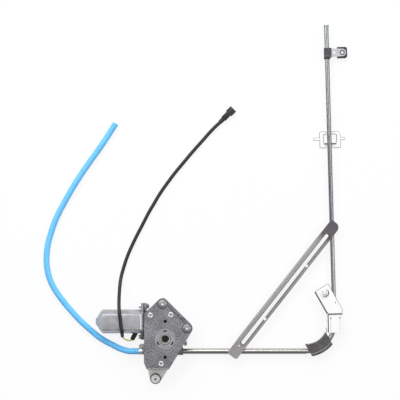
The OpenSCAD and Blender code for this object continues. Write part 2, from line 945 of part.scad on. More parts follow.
module worm() {
  turns = worm_len / lead;
  steps = ceil(turns * worm_steps_per_turn);
  color("gray")
    along_x(-worm_len / 2, axis_y, worm_z)
      difference() {
        linear_extrude(worm_len, twist = -360 * turns, slices = steps, $fn = worm_sides)
          rotate([0, 0, 90 - 180 * turns])
            polygon([for (i = [0 : worm_sides - 1])
              worm_radius(lead * (i > worm_sides / 2 ? i - worm_sides : i) / worm_sides)
                * [cos(360 * i / worm_sides), sin(360 * i / worm_sides)]]);
        translate([0, 0, -over])
          cylinder(r = shaft_r + seat, h = worm_len + 2 * over);
      }
}

module hose_spigot() {
  color("silver")
    x_tube(-left_w - spigot_out, -left_w + spigot_in - seat, cable_y, cable_z,
           hose_bore_r - 2 * seat, cable_r + pass_gap);
}
spigot_out = 12;
hose_free_x = -left_w - spigot_out;

module hose_end() {
  color("deepskyblue")
    x_tube(hose_free_x, -left_w, cable_y, cable_z, hose_r, hose_bore_r);
}

// Points down the middle of the free hose, from the end that is pushed over the spigot
hose_route = [
  [-50, -24.5, -31], [-58, -24.5, -31], [-66, -24.5, -32], [-75, -22.5, -33.5], [-85, -19, -34.5],
  [-94.5, -14, -34.5], [-106.5, -8, -34.5], [-121.5, 1.5, -34.5], [-137, 14.5, -34.5], [-153, 29, -34.5],
  [-168, 45, -34.5], [-183, 62.5, -34.5], [-197, 81.5, -34.5], [-207, 99, -34.5], [-213, 117, -34.5],
  [-216, 136, -34.5], [-215.5, 154, -34.5], [-212.5, 172, -34.5], [-207.5, 190, -34.5], [-201, 209, -34.5],
  [-193, 227, -34.5], [-183.5, 244.5, -34.5], [-173.5, 262.5, -34.5], [-162.5, 281, -34.5],
  [-150.5, 299.5, -34.5], [-138, 317.5, -34.5], [-125, 335.5, -34.5], [-112.5, 353.5, -34.5],
  [-100.5, 372, -34.5], [-90.5, 388, -34.5]
];

module tail_hose() {
  color("deepskyblue")
    swept(hose_route, hose_r, hose_sides);
}

// Band clamp over the hose with two ears that a screw draws together
clamp_w = 9;
clamp_t = 1;
clamp_ear = 7;
ear_gap = 2.4;
clamp_setback = 1.4;
clamp_x = -left_w - clamp_setback;

module hose_clamp() {
  band_r = hose_r + clamp_t;
  color("lightgray")
    difference() {
      union() {
        x_tube(clamp_x - clamp_w, clamp_x, cable_y, cable_z, band_r);
        span([clamp_x - clamp_w, cable_y, cable_z - ear_gap / 2 - clamp_t],
             [clamp_x, cable_y + band_r + clamp_ear, cable_z + ear_gap / 2 + clamp_t]);
      }
      x_tube(clamp_x - clamp_w - over, clamp_x + over, cable_y, cable_z, hose_r + seat);
      span([clamp_x - clamp_w - over, cable_y, cable_z - ear_gap / 2],
           [clamp_x + over, cable_y + band_r + clamp_ear + over, cable_z + ear_gap / 2]);
      clamp_screw_line(-2 * hose_r, 2 * hose_r, screw_r + seat);
    }
}

module clamp_screw_line(z0, z1, r) {
  translate([clamp_x - clamp_w / 2, cable_y + hose_r + clamp_t + clamp_ear / 2, cable_z])
    z_tube(z0, z1, r);
}

module clamp_screw() {
  grip = ear_gap / 2 + clamp_t;
  color("silver") {
    clamp_screw_line(-grip - screw_r, grip, screw_r);
    clamp_screw_line(grip, grip + screw_r, clamp_ear / 2);
  }
}

module support_tube() {
  color("lightgray")
    x_tube(tube_in_x, bend_x, cable_y, cable_z, support_r, rail_r + seat);
}

module guide_rail() {
  color("gainsboro")
    difference() {
      union() {
        tube_path(tube_in_x, rail_len, rail_r, rail_bore_r);
        on_rail()
          translate([0, rail_len - flare_len, 0])
            rotate([-90, 0, 0])
              z_tube(0, flare_len, rail_r + flare_t, rail_r - flare_t);
      }
      on_rail()
        translate([0, slot_y, -slot_w / 2])
          cube([2 * rail_r, slot_end_y - slot_y, slot_w]);
    }
}
flare_len = 2.4;
flare_t = 0.6;

module rack_cable() {
  color("dimgray")
    tube_path(hose_free_x + pass_gap, shoe_y - pass_gap, cable_r);
}

// Saddle over the bend: a ribbed trough cut off square at both ends
saddle_t = 2.4;
saddle_shift = 1.5;
saddle_turn = 30.5;
rib_gap = 0.1;

module corner_saddle() {
  inner = bend_r - saddle_w / 2 - saddle_shift;
  outer = inner + saddle_w;
  top = rail_r + seat + saddle_t;
  color("dimgray")
    translate([bend_x, bend_y, cable_z])
      rotate([0, 0, saddle_turn])
        intersection() {
          rotate_extrude() {
            translate([inner, rail_r + seat])
              square([saddle_w, saddle_t]);
            for (r = [inner, outer - saddle_t])
              translate([r, floor_z - cable_z])
                square([saddle_t, top - floor_z + cable_z]);
            for (r = [bend_r - rail_r - rib_gap - saddle_t, bend_r + rail_r + rib_gap])
              translate([r, -rail_r])
                square([saddle_t, rail_r + top - saddle_t / 2]);
            translate([outer - saddle_t, top])
              square([saddle_t / 2, saddle_t / 3]);
          }
          translate([-saddle_len / 2, -bend_r - saddle_w, floor_z - cable_z])
            cube([saddle_len, bend_r + saddle_w, 2 * top - floor_z + cable_z]);
        }
}

// Puts a shape on the brace: X runs up the brace from the lower tube, Z is its back face
module on_brace() {
  translate([brace_foot_x, cable_y, cable_z + support_r])
    rotate([0, 0, brace_angle])
      children();
}
foot_corner = 4.5;
head_corners = [5.5, 1.5];
brace_slot_shift = 1;
slot_from = 19;
slot_to = 12;
fold_from = 20;
fold_to = 28;
lip_depth = 4;
notch_r = 2.4;
notch_shares = [0.28, 0.71];
notch_sink_share = 0.8;
seat_pad_r = 5.6;

module brace() {
  half = brace_w / 2;
  inset = half - foot_corner;
  end = brace_run + brace_over;
  notch_y = -brace_slot_shift - brace_slot_w / 2 - notch_sink_share * notch_r;
  color("silver")
    on_brace()
      difference() {
        union() {
          linear_extrude(brace_t)
            outline([
              [foot_corner - brace_foot_over, -inset, foot_corner],
              [end - head_corners[0], head_corners[0] - half, head_corners[0]],
              [end - head_corners[1], half - head_corners[1], head_corners[1]],
              [foot_corner - brace_foot_over, inset, foot_corner]
            ]);
          for (y = [-half, half - brace_t])
            span([fold_from, y, -brace_fold], [brace_run - fold_to, y + brace_t, brace_t]);
          span([fold_from, brace_slot_w / 2 - brace_slot_shift, -lip_depth],
               [brace_run - fold_to, brace_slot_w / 2 - brace_slot_shift + brace_t, 0]);
          translate([brace_run, 0, rail_r - support_r + seat])
            cylinder(r = seat_pad_r, h = brace_t);
        }
        slot_hole([slot_from, -brace_slot_shift], [brace_run - slot_to, -brace_slot_shift], brace_slot_w / 2);
        for (share = notch_shares)
          translate([share * brace_run, notch_y, -over])
            cylinder(r = notch_r, h = brace_t + 2 * over);
        translate([slot_from - brace_slot_w, brace_slot_shift, -over])
          cylinder(r = brace_hole_r, h = brace_t + 2 * over);
      }
}
brace_hole_r = 1.4;

// Long hole with round ends between two places
module slot_hole(a, b, r) {
  translate([0, 0, -over])
    linear_extrude(brace_t + 2 * over)
      outline([[a.x, a.y, r], [b.x, b.y, r]]);
}

// Bracket behind the rail with a window, a folded lip, two ears and two cradles
bracket_t = 2.5;
bracket_shift = 1.8;
bracket_corner = 7;
window_w = 23.5;
window_h = 16;
window_shift = 1.7;
ear_w = 5;
ear_len = [11, 8];
cradle_w = 12;
cradle_h = 5;
cradle_share = 0.8;

module mid_bracket() {
  low = floor_z - cable_z;
  top = low + bracket_t;
  x0 = bracket_shift - bracket_w / 2;
  x1 = x0 + bracket_w;
  y0 = bracket_y - bracket_h / 2;
  y1 = y0 + bracket_h;
  wx = bracket_shift - window_w / 2;
  wy = bracket_y + window_shift - window_h / 2;
  color("gainsboro")
    on_rail()
      difference() {
        union() {
          translate([0, 0, low])
            linear_extrude(bracket_t)
              outline([
                [x0 + step_t, y0 + step_t, step_t],
                [x1 - step_t, y0 + step_t, step_t],
                [x1 - bracket_corner, y1 - bracket_corner, bracket_corner],
                [x0 + bracket_corner / 2, y1 - bracket_corner / 2, bracket_corner / 2]
              ]);
          span([x0 - ear_len[0], bracket_y + window_shift - ear_w / 2, low],
               [x1 + ear_len[1], bracket_y + window_shift + ear_w / 2, top]);
          span([wx, wy - bracket_t / 2, low], [wx + window_w, wy, top + bracket_t]);
          for (y = [y0, y1 - cradle_h])
            span([-cradle_w / 2, y, low], [cradle_w / 2, y + cradle_h, -cradle_share * rail_r]);
        }
        span([wx, wy, low - over], [wx + window_w, wy + window_h, top + over]);
        translate([0, y0 - over, 0])
          rotate([-90, 0, 0])
            cylinder(r = rail_r + seat, h = bracket_h + 2 * over);
        translate([wx + bracket_t * 2, y0 + bracket_t, low - over])
          cylinder(r = step_t, h = bracket_t + 2 * over);
      }
}

// Upper clip: a rubber sleeve on the rail, a strap behind it, a pad and its eyelet
sleeve_h = 17;
sleeve_wall = 1.6;
strap_t = 1.2;
strap_ring_r = 6.8;
pad_boss_r = 4.7;
pad_w = 18;
pad_corner = 4;
eyelet_wall = 0.7;
stop_h = 3;

module stop_ring() {
  color("dimgray")
    on_rail()
      translate([0, clip_y - sleeve_h / 2 - stop_h - seat, 0])
        rotate([-90, 0, 0])
          z_tube(0, stop_h, rail_r + sleeve_wall, rail_r + seat);
}

module clip_sleeve() {
  color("dimgray")
    on_rail()
      translate([0, clip_y - sleeve_h / 2, 0])
        difference() {
          rotate([-90, 0, 0])
            linear_extrude(sleeve_h)
              outline([[0, 0, rail_r + sleeve_wall],
                       [rail_r, -sleeve_wall, rail_r], [rail_r, sleeve_wall, rail_r]]);
          translate([0, -over, 0])
            rotate([-90, 0, 0])
              cylinder(r = rail_r + seat, h = sleeve_h + 2 * over);
        }
}

module clip_strap() {
  back = -rail_r - sleeve_wall - seat;
  edge = 2 * rail_r + seat;
  color("gainsboro")
    on_rail()
      difference() {
        union() {
          span([-rail_r, clip_y - sleeve_h / 2 + step_t, back - strap_t],
               [edge + strap_t, clip_y + sleeve_h / 2 - step_t, back]);
          span([edge, clip_y - sleeve_h / 2 + step_t, back - strap_t],
               [edge + strap_t, clip_y + sleeve_h / 2 - step_t, strap_t]);
          linear_extrude(strap_t)
            outline([[edge, clip_y - sleeve_h / 2 + step_t, 0],
                     [eyelet_x, clip_y, strap_ring_r],
                     [edge, clip_y + sleeve_h / 2 - step_t, 0]]);
        }
        translate([eyelet_x, clip_y, -over])
          cylinder(r = pad_boss_r + seat, h = 3 * strap_t);
        translate([edge + 4 * strap_t, clip_y, -over])
          cylinder(r = 2 * strap_t, h = 3 * strap_t);
      }
}

module clip_pad() {
  low = floor_z - cable_z;
  half = pad_h / 2;
  x0 = eyelet_x - pad_w / 2;
  x1 = eyelet_x + pad_w / 2;
  color("black")
    on_rail()
      difference() {
        union() {
          translate([0, 0, low])
            linear_extrude(-low - seat)
              outline([[x0 + step_t, clip_y - half + step_t, step_t],
                       [x1 - pad_corner, clip_y - half + pad_corner, pad_corner],
                       [x1 - pad_corner, clip_y + half - pad_corner, pad_corner],
                       [x0 + step_t, clip_y + half - step_t, step_t]]);
          translate([eyelet_x, clip_y, low])
            cylinder(r = pad_boss_r, h = 1.5 * strap_t - low);
        }
        translate([eyelet_x, clip_y, low - over])
          cylinder(r = eyelet_r + eyelet_wall + seat, h = 2 * over + 3 * strap_t - low);
      }
}

module clip_eyelet() {
  low = floor_z - cable_z;
  color("silver")
    on_rail()
      translate([eyelet_x, clip_y, 0])
        z_tube(low, 2 * strap_t, eyelet_r + eyelet_wall, eyelet_r);
}

// Slider: a shoe in the tube, a neck through the slot and a foot that takes the rivets
foot_t = 2;
foot_low = 3.6;
foot_high = 3.4;
slider_rivet_r = 1.2;
rivet_pitch_share = 0.5;

module slider() {
  inner = carrier_right - carrier_t;
  color("ivory")
    on_rail()
      difference() {
        union() {
          translate([0, shoe_y, 0])
            rotate([-90, 0, 0])
              cylinder(r = rail_bore_r - run_gap, h = shoe_len);
          span([0, shoe_y + step_t, pass_gap - slot_w / 2],
               [inner, shoe_y + shoe_len - step_t, slot_w / 2 - pass_gap]);
          span([inner - foot_t, shoe_y, -foot_low], [inner, shoe_y + shoe_len, foot_high]);
        }
        slider_rivet_lines(inner - 2 * foot_t, carrier_right, slider_rivet_r + seat);
      }
}

module slider_rivet_lines(x0, x1, r) {
  for (s = [-1, 1])
    x_tube(x0, x1, shoe_y + shoe_len * (1 + s * rivet_pitch_share) / 2, 0, r);
}

module slider_rivets() {
  color("silver")
    on_rail() {
      slider_rivet_lines(carrier_right - carrier_t - foot_t, carrier_right, slider_rivet_r);
      slider_rivet_lines(carrier_right, carrier_right + step_t, rivet_r);
    }
}

// Glass carrier: a lower plate over the rail with two folded edges, and a slanted arm a step forward
carrier_low = 18;
fold_y = 16.4;
kink_y = 24.4;
arm_top = [-10.4, 71.1];
arm_angle = 30;
arm_step = 1.5;
shallow_fold = 1.5;
groove_w = 1.6;
groove_x = 7.9;
pilot_r = 1.3;
pilot_x = 1.9;
tab = [3, 10];

module carrier_bracket() {
  z0 = carrier_gap;
  z1 = carrier_gap + carrier_t;
  arm_left = arm_top - arm_w * [cos(arm_angle), sin(arm_angle)];
  color("white")
    on_rail()
      difference() {
        union() {
          span([-carrier_left, -carrier_low, z0], [carrier_right, fold_y + arm_step, z1]);
          span([-carrier_left, -carrier_low, z0 - shallow_fold], [carrier_t - carrier_left, fold_y, z1]);
          span([carrier_right - carrier_t, -carrier_low, -foot_low], [carrier_right, fold_y, z1]);
          translate([0, 0, z0 + arm_step])
            linear_extrude(carrier_t)
              polygon([[-carrier_left, fold_y], [carrier_right, fold_y], [carrier_right, kink_y],
                       arm_top, arm_left]);
          span([-carrier_left - tab.x, -carrier_low, z0], [-carrier_left, tab.y - carrier_low, z1]);
        }
        for (x = [-groove_x, groove_x])
          span([x - groove_w / 2, -carrier_low - over, z1 - step_t],
               [x + groove_w / 2, fold_y / 2, z1 + over]);
        translate([pilot_x, nut_y - carrier_low, z0 - over])
          cylinder(r = pilot_r, h = 2 * carrier_t + 2 * arm_step);
        translate([-nut_x, nut_y, z0 - over])
          cylinder(r = thread_r, h = 2 * carrier_t + 2 * arm_step);
        slider_rivet_lines(carrier_right - carrier_t - over, carrier_right + over, slider_rivet_r + seat);
      }
}

nut_seat_share = 0.3;
nut_hex_share = 0.62;

module glass_nut() {
  seat_h = nut_seat_share * nut_h;
  color("gainsboro")
    on_rail()
      translate([-nut_x, nut_y, carrier_gap + arm_step + carrier_t])
        difference() {
          union() {
            cylinder(r = nut_seat_r, h = seat_h);
            cylinder(r = nut_hex_share * nut_seat_r, h = nut_h, $fn = hex_sides);
          }
          translate([0, 0, -over])
            cylinder(r = thread_r, h = nut_h + 2 * over);
        }
}

// Boot where the lead leaves the can, between its mouth and the low side of the can
boot_mouth = [-60, -2.2, -24.25];
boot_root = [-53, 10.4, -19];
boot_r = 3.5;

module boot_bar(r, extra) {
  run = boot_root - boot_mouth;
  translate(boot_mouth)
    rotate([0, acos(run.z / norm(run)), atan2(run.y, run.x)])
      cylinder(r = r, h = norm(run) + extra);
}

module boot_cut() {
  boot_bar(boot_r + seat, can_wall);
}

module lead_boot() {
  color("black")
    boot_bar(boot_r, 0);
}

// Points down the middle of the two bare wires and of the sleeve
wire_route = [
  [-60, -2.2, -24.25], [-61, -4, -25], [-64, -5.5, -25], [-68.5, -4.5, -22.5], [-73, -1.8, -18.5],
  [-76.8, 1.8, -13], [-77, 5, -9]
];
sleeve_route = [
  [-77, 5, -9], [-77.5, 13, 1], [-79, 24, 2.5], [-80, 35, 2.5], [-81.5, 46, 2], [-82.5, 56, -1],
  [-83, 68.5, -8], [-83, 81.5, -19], [-82.5, 95, -29.5], [-80.5, 110, -35.5], [-76.5, 125, -37],
  [-72, 139.5, -37], [-66.5, 154, -37], [-60, 168.5, -37], [-53, 183, -37], [-45.5, 197.5, -37],
  [-38, 212, -37], [-30.5, 226.5, -37], [-22, 241, -37], [-13.5, 255.5, -37], [-4, 270, -37],
  [6.5, 284.5, -37], [17.5, 299, -37], [29.5, 313.5, -37], [42, 328.5, -37], [54.5, 343, -37],
  [67.5, 357.5, -37], [78, 369.5, -36.5], [88, 380, -36], [96, 387.5, -36], [99, 390.5, -36]
];
plug_end = sleeve_route[len(sleeve_route) - 1];
plug_way = plug_end - sleeve_route[len(sleeve_route) - 2];
collar_r = 4;
collar_len = 8;
plug_neck_w = 10;
plug_neck_len = 14;
plug_front_len = 12;
plug_h = 8;

module lead_wires() {
  color("gold")
    for (s = [-1, 1])
      swept(wire_route, wire_r, lead_sides, s * (wire_r + pass_gap / 2));
}

module lead_sleeve() {
  color("black")
    swept(sleeve_route, sleeve_r, lead_sides);
}

// Puts a shape on the connector: X runs along it from the end of the sleeve
module on_plug() {
  translate(plug_end)
    rotate([0, 0, atan2(plug_way.y, plug_way.x)])
      children();
}

module connector_collar() {
  color("black")
    on_plug()
      x_tube(0, collar_len, 0, 0, collar_r);
}

module connector_body() {
  neck_x = collar_len + plug_neck_len;
  end_x = neck_x + plug_front_len;
  color("black")
    on_plug()
      difference() {
        union() {
          span([collar_len, -plug_neck_w / 2, -plug_h / 2], [neck_x, plug_neck_w / 2, plug_h / 2]);
          span([neck_x, -plug_w / 2, -plug_h / 2], [end_x, plug_w / 2, plug_h / 2]);
          span([neck_x - plug_neck_w / 2, -plug_neck_w / 4, 0],
            [end_x, plug_neck_w / 4, plug_h / 2 + step_t]);
        }
        for (y = [-plug_neck_w / 4, plug_neck_w / 4])
          x_tube(neck_x, end_x + over, y, 0, pin_r + seat);
      }
}
pin_r = 1.3;
pin_bore_share = 0.6;

module connector_pins() {
  neck_x = collar_len + plug_neck_len;
  color("gold")
    on_plug()
      for (y = [-plug_neck_w / 4, plug_neck_w / 4])
        x_tube(neck_x, neck_x + plug_front_len - pin_r, y, 0, pin_r, pin_bore_share * pin_r);
}

gear_housing();
base_plate();
housing_rivets();
fixing_bushes();
bush_seals();
lower_bush();
lower_grommet();
hub_ring();
hub_bush();
gear_spindle();
hose_spigot();
hose_end();
tail_hose();
hose_clamp();
clamp_screw();
motor_can();
rear_bearing();
field_magnets();
brush_plate();
carbon_brushes();
brush_springs();
motor_flange();
motor_gasket();
motor_screws();
front_bearing();
worm_bearing();
thrust_pad();
support_tube();
guide_rail();
rack_cable();
corner_saddle();
brace();
mid_bracket();
stop_ring();
clip_sleeve();
clip_strap();
clip_pad();
clip_eyelet();
lead_boot();
lead_wires();
lead_sleeve();
connector_body();
connector_collar();
connector_pins();
drive_hub();
worm_wheel();
drive_damper();
drive_gear();
motor_shaft();
worm();
armature_core();
commutator();
windings();
carrier_bracket();
slider();
slider_rivets();
glass_nut();
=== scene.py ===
# %% [markdown]
# An electric window regulator lies flat on a pale bench, seen from straight above. A worm motor on the
# left drives a gear in a flat cast housing, a bent tube carries the toothed cable along the bottom and up
# the right side, and a small zinc plate rides on that upright to lift the window glass. The exact solids
# come in first as a fixed frame. Everything below dresses that frame: finishes, softer edges, hose, lead.

# %% Load the frame
import math

import bpy
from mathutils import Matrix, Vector


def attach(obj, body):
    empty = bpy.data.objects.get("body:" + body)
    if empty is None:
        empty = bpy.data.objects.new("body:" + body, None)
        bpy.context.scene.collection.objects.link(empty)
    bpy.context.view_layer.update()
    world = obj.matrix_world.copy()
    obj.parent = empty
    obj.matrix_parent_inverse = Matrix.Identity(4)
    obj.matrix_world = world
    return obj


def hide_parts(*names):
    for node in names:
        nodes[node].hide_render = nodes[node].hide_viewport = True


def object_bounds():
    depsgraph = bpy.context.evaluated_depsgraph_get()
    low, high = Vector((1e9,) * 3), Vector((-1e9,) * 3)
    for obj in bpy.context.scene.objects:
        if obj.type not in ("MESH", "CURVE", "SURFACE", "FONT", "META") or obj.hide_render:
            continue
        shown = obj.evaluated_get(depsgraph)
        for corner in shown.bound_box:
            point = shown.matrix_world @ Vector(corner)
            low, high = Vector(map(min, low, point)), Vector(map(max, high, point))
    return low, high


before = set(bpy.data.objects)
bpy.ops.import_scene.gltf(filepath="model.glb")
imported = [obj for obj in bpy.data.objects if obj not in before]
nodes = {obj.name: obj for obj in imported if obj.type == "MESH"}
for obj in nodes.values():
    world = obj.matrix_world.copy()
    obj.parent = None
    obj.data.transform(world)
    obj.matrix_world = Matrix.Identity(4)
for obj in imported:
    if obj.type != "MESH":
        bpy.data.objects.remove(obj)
cad_box = [[float(v) for v in corner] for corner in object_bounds()]
print("exact parts:", len(nodes), "box in mm:", [[round(v * 1000, 1) for v in c] for c in cad_box])

# %% [markdown]
# The picture is taken from high above the middle of the bench, with a long lens, so near and far pieces
# keep almost the same scale. A 135 mm lens on a 36 mm sensor sees 720 mm of bench from 2.7 m away. The
# camera is placed before any piece is dressed.

# %% Camera
camera_place = (0.06245, 0.24931, 2.685)
bpy.ops.object.select_all(action="DESELECT")
bpy.ops.object.camera_add(location=camera_place, rotation=(0, 0, 0))
camera = bpy.context.object
camera.name = "bench_camera"
camera.data.lens = 135
camera.data.sensor_width = 36
camera.data.clip_end = 20
bpy.context.scene.camera = camera
print("camera height above the bench in mm:", round((camera_place[2] - cad_box[0][2]) * 1000))

# %% [markdown]
# A product shot like this has a wide soft light from above and a white bench that almost hides the
# shadows. The bench is one large plane a hair below the part. It is white to the camera and to
# reflections, and a plain pale surface to the light, so the soft shadow under the pieces stays.

# %% Bench
bench_z = cad_box[0][2] - 0.0004
bench_glow = 0.86
bpy.ops.object.select_all(action="DESELECT")
bpy.ops.mesh.primitive_plane_add(size=14, location=(0.06, 0.25, bench_z))
bench = bpy.context.object
bench.name = "bench"
bpy.ops.object.transform_apply(location=True, rotation=True, scale=True)
bench_finish = bpy.data.materials.new("bench_white")
bench_finish.use_nodes = True
tree = bench_finish.node_tree
tree.nodes.clear()
out = tree.nodes.new("ShaderNodeOutputMaterial")
mix = tree.nodes.new("ShaderNodeMixShader")
pale = tree.nodes.new("ShaderNodeBsdfDiffuse")
white = tree.nodes.new("ShaderNodeEmission")
path = tree.nodes.new("ShaderNodeLightPath")
seen = tree.nodes.new("ShaderNodeMath")
seen.operation = "MAXIMUM"
share = tree.nodes.new("ShaderNodeMath")
share.operation = "MULTIPLY"
share.inputs[1].default_value = bench_glow
pale.inputs["Color"].default_value = (0.86, 0.86, 0.87, 1)
white.inputs["Color"].default_value = (1, 1, 1, 1)
tree.links.new(path.outputs["Is Camera Ray"], seen.inputs[0])
tree.links.new(path.outputs["Is Glossy Ray"], seen.inputs[1])
tree.links.new(seen.outputs[0], share.inputs[0])
tree.links.new(share.outputs[0], mix.inputs["Fac"])
tree.links.new(pale.outputs[0], mix.inputs[1])
tree.links.new(white.outputs[0], mix.inputs[2])
tree.links.new(mix.outputs[0], out.inputs["Surface"])
bench.data.materials.append(bench_finish)
print("bench level in mm:", round(bench_z * 1000, 2))

# %% [markdown]
# Bright metal shows the room more than its own colour. Photographers put a large white panel over such a
# part and leave the sides of the room dark, so every tube gets a light middle and dark outlines. Three
# broad lamps do the lighting here, and the sky is a ramp: bright overhead and at the far side, dark low
# down on the near side and to the left and right.

# %% Lamps
def soft_lamp(name, place, aim, size, watts):
    """A square area lamp at a place in metres, turned towards what it lights."""
    bpy.ops.object.light_add(type="AREA", location=place)
    lamp = bpy.context.object
    lamp.name = name
    lamp.data.size = size
    lamp.data.energy = watts
    lamp.rotation_euler = (Vector(aim) - Vector(place)).to_track_quat("-Z", "Y").to_euler()
    return lamp


middle = (0.05, 0.25, 0)
soft_lamp("far_side", (-0.25, 2.3, 1.9), middle, 1.4, 42)
soft_lamp("left_side", (-1.6, 0.9, 1.9), middle, 1.0, 16)
soft_lamp("right_side", (1.7, 0.4, 1.9), middle, 1.0, 12)

# %% [markdown]
# The sky is seen only in reflections and as fill light. Its ramp runs along a slanted direction, so that
# the tubes mirror a bright far side and a dark near side.

# %% Sky
def ramp(tree, value, stops):
    """The colour of a value on a ramp, which is a list of (position, colour) stops in order."""
    made = tree.nodes.new("ShaderNodeValToRGB")
    for element, (position, colour) in zip(made.color_ramp.elements, (stops[0], stops[-1])):
        element.position = position
        element.color = (*colour, 1)
    for position, colour in stops[1:-1]:
        made.color_ramp.elements.new(position).color = (*colour, 1)
    tree.links.new(value, made.inputs["Fac"])
    return made.outputs["Color"]


sky = bpy.data.worlds.new("studio_sky")
bpy.context.scene.world = sky
sky.use_nodes = True
sky_tree = sky.node_tree
sight = sky_tree.nodes.new("ShaderNodeTexCoord")
lean = sky_tree.nodes.new("ShaderNodeVectorMath")
lean.operation = "DOT_PRODUCT"
lean.inputs[1].default_value = (0.17, 0.42, 0.72)
reach = 0.85
level = sky_tree.nodes.new("ShaderNodeMapRange")
level.inputs["From Min"].default_value = -reach
level.inputs["From Max"].default_value = reach
sky_tree.links.new(sight.outputs["Generated"], lean.inputs[0])
sky_tree.links.new(lean.outputs["Value"], level.inputs["Value"])
sky_colour = ramp(sky_tree, level.outputs["Result"], [
    (0.30, (0.03, 0.03, 0.03)), (0.56, (0.14, 0.14, 0.1428)),
    (0.74, (0.62, 0.62, 0.6324)), (0.94, (0.92, 0.94, 0.97))])
background = sky_tree.nodes["Background"]
sky_tree.links.new(sky_colour, background.inputs["Color"])
background.inputs["Strength"].default_value = 0.8
print("sky strength:", round(background.inputs["Strength"].default_value, 2))

# %% [markdown]
# Colours must come out as written, so the view transform is the plain one.

# %% Plain colours
bpy.context.scene.view_settings.view_transform = "Standard"
print("view:", bpy.context.scene.view_settings.view_transform)

# %% [markdown]
# The free hose is a soft blue tube pushed over the spigot behind the motor, and it guards the tail of the
# cable when the window is down. It keeps the bow it was packed in: it runs left, swings up in a long arc
# and ends cut off square. The route is the same list of places that the solid follows, rounded into a
# smooth line, and the tube is a bevelled curve that is turned into a mesh and given a real wall.

# %% Route of the hose
def smooth_route(points_mm, steps=6):
    """Places in millimetres in, a finer line in metres out, through every place."""
    p = [Vector(q) / 1000 for q in points_mm]
    p = [2 * p[0] - p[1]] + p + [2 * p[-1] - p[-2]]
    line = []
    for i in range(1, len(p) - 2):
        for k in range(steps):
            t = k / steps
            line.append(0.5 * (2 * p[i] + (p[i + 1] - p[i - 1]) * t
                               + (2 * p[i - 1] - 5 * p[i] + 4 * p[i + 1] - p[i + 2]) * t * t
                               + (3 * p[i] - p[i - 1] - 3 * p[i + 1] + p[i + 2]) * t ** 3))
    return line + [p[-2]]


def length_of(line):
    """The length of a line of places, in its own unit."""
    return sum((b - a).length for a, b in zip(line, line[1:]))


hose_line = smooth_route([
    (-38.2, -24.5, -31), (-44, -24.5, -31), (-50, -24.5, -31), (-58, -24.5, -31), (-66, -24.5, -32),
    (-75, -22.5, -33.3), (-85, -19, -34.2), (-94.5, -14, -34.45), (-106.5, -8, -34.49),
    (-121.5, 1.5, -34.49), (-137, 14.5, -34.49), (-153, 29, -34.49), (-168, 45, -34.49),
    (-183, 62.5, -34.49), (-197, 81.5, -34.49), (-207, 99, -34.49), (-213, 117, -34.49),
    (-215.75, 136, -34.49), (-215.25, 154, -34.49), (-212.5, 172, -34.49), (-207.5, 190, -34.49),
    (-201, 209, -34.49), (-193, 227, -34.49), (-183.5, 244.5, -34.49), (-173.5, 262.5, -34.49),
    (-162.5, 281, -34.49), (-150.5, 299.5, -34.49), (-138, 317.5, -34.49), (-125, 335.5, -34.49),
    (-112.5, 353.5, -34.49), (-100.5, 372, -34.49), (-90.5, 388, -34.49)])
print("hose length in mm:", round(length_of(hose_line) * 1000, 1))

# %% [markdown]
# A curve with a round bevel makes the tube. Solidify gives it a wall, so its cut end is open.

# %% Hose
def tube_along(name, line, radius, wall=0.0, rounds=5):
    """A round tube along a line: a curve with a bevel, made a mesh. With a wall it is hollow."""
    bpy.ops.object.select_all(action="DESELECT")
    bpy.ops.curve.primitive_bezier_curve_add(location=(0, 0, 0))
    tube = bpy.context.object
    tube.name = name
    curve = tube.data
    curve.splines.clear()
    spline = curve.splines.new("POLY")
    spline.points.add(len(line) - 1)
    for point, place in zip(spline.points, line):
        point.co = (*place, 1)
    curve.dimensions = "3D"
    curve.twist_mode = "Z_UP"
    curve.bevel_depth = radius
    curve.bevel_resolution = rounds
    curve.use_fill_caps = not wall
    bpy.ops.object.convert(target="MESH")
    if wall:
        thicken = tube.modifiers.new("wall", "SOLIDIFY")
        thicken.thickness = wall
        thicken.offset = -1
        bpy.ops.object.modifier_apply(modifier="wall")
    bpy.ops.object.mode_set(mode="EDIT")
    bpy.ops.mesh.select_all(action="SELECT")
    bpy.ops.mesh.remove_doubles(threshold=0.000001)
    bpy.ops.mesh.normals_make_consistent(inside=False)
    bpy.ops.object.mode_set(mode="OBJECT")
    bpy.ops.object.shade_smooth_by_angle(angle=math.radians(35))
    return tube


hose_radius, hose_wall = 0.0055, 0.0016
blue_hose = tube_along("blue_hose", hose_line, hose_radius, wall=hose_wall, rounds=8)
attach(blue_hose, "frame")
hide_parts("tail_hose", "hose_end")
print("hose faces:", len(blue_hose.data.polygons))

# %% [markdown]
# The lead is a black sleeve over two wires. It leaves a small boot on the near side of the motor, climbs
# over the can, comes down to the bench and runs up to a two-pole connector. The two yellow wires show for
# three centimetres between the boot and the sleeve.

# %% Lead
sleeve_line = smooth_route([
    (-77, 5, -9), (-77.5, 13, 1), (-79, 24, 2.2), (-80, 35, 2.2), (-81.5, 46, 2), (-82.5, 56, -1),
    (-83, 68.5, -8), (-83, 81.5, -19), (-82.5, 95, -29.5), (-80.5, 110, -35.5), (-76.5, 125, -36.65),
    (-72, 139.5, -36.65), (-66.5, 154, -36.65), (-60, 168.5, -36.65), (-53, 183, -36.65),
    (-45.5, 197.5, -36.65), (-38, 212, -36.65), (-30.5, 226.5, -36.65), (-22, 241, -36.65),
    (-13.5, 255.5, -36.65), (-4, 270, -36.65), (6.5, 284.5, -36.65), (17.5, 299, -36.65),
    (29.5, 313.5, -36.65), (42, 328.5, -36.65), (54.5, 343, -36.65), (67.5, 357.5, -36.65),
    (78, 369.5, -36.5), (88, 380, -36), (96, 387.5, -36), (99, 390.5, -36)])
sleeve_radius, sleeve_wall = 0.0032, 0.0008
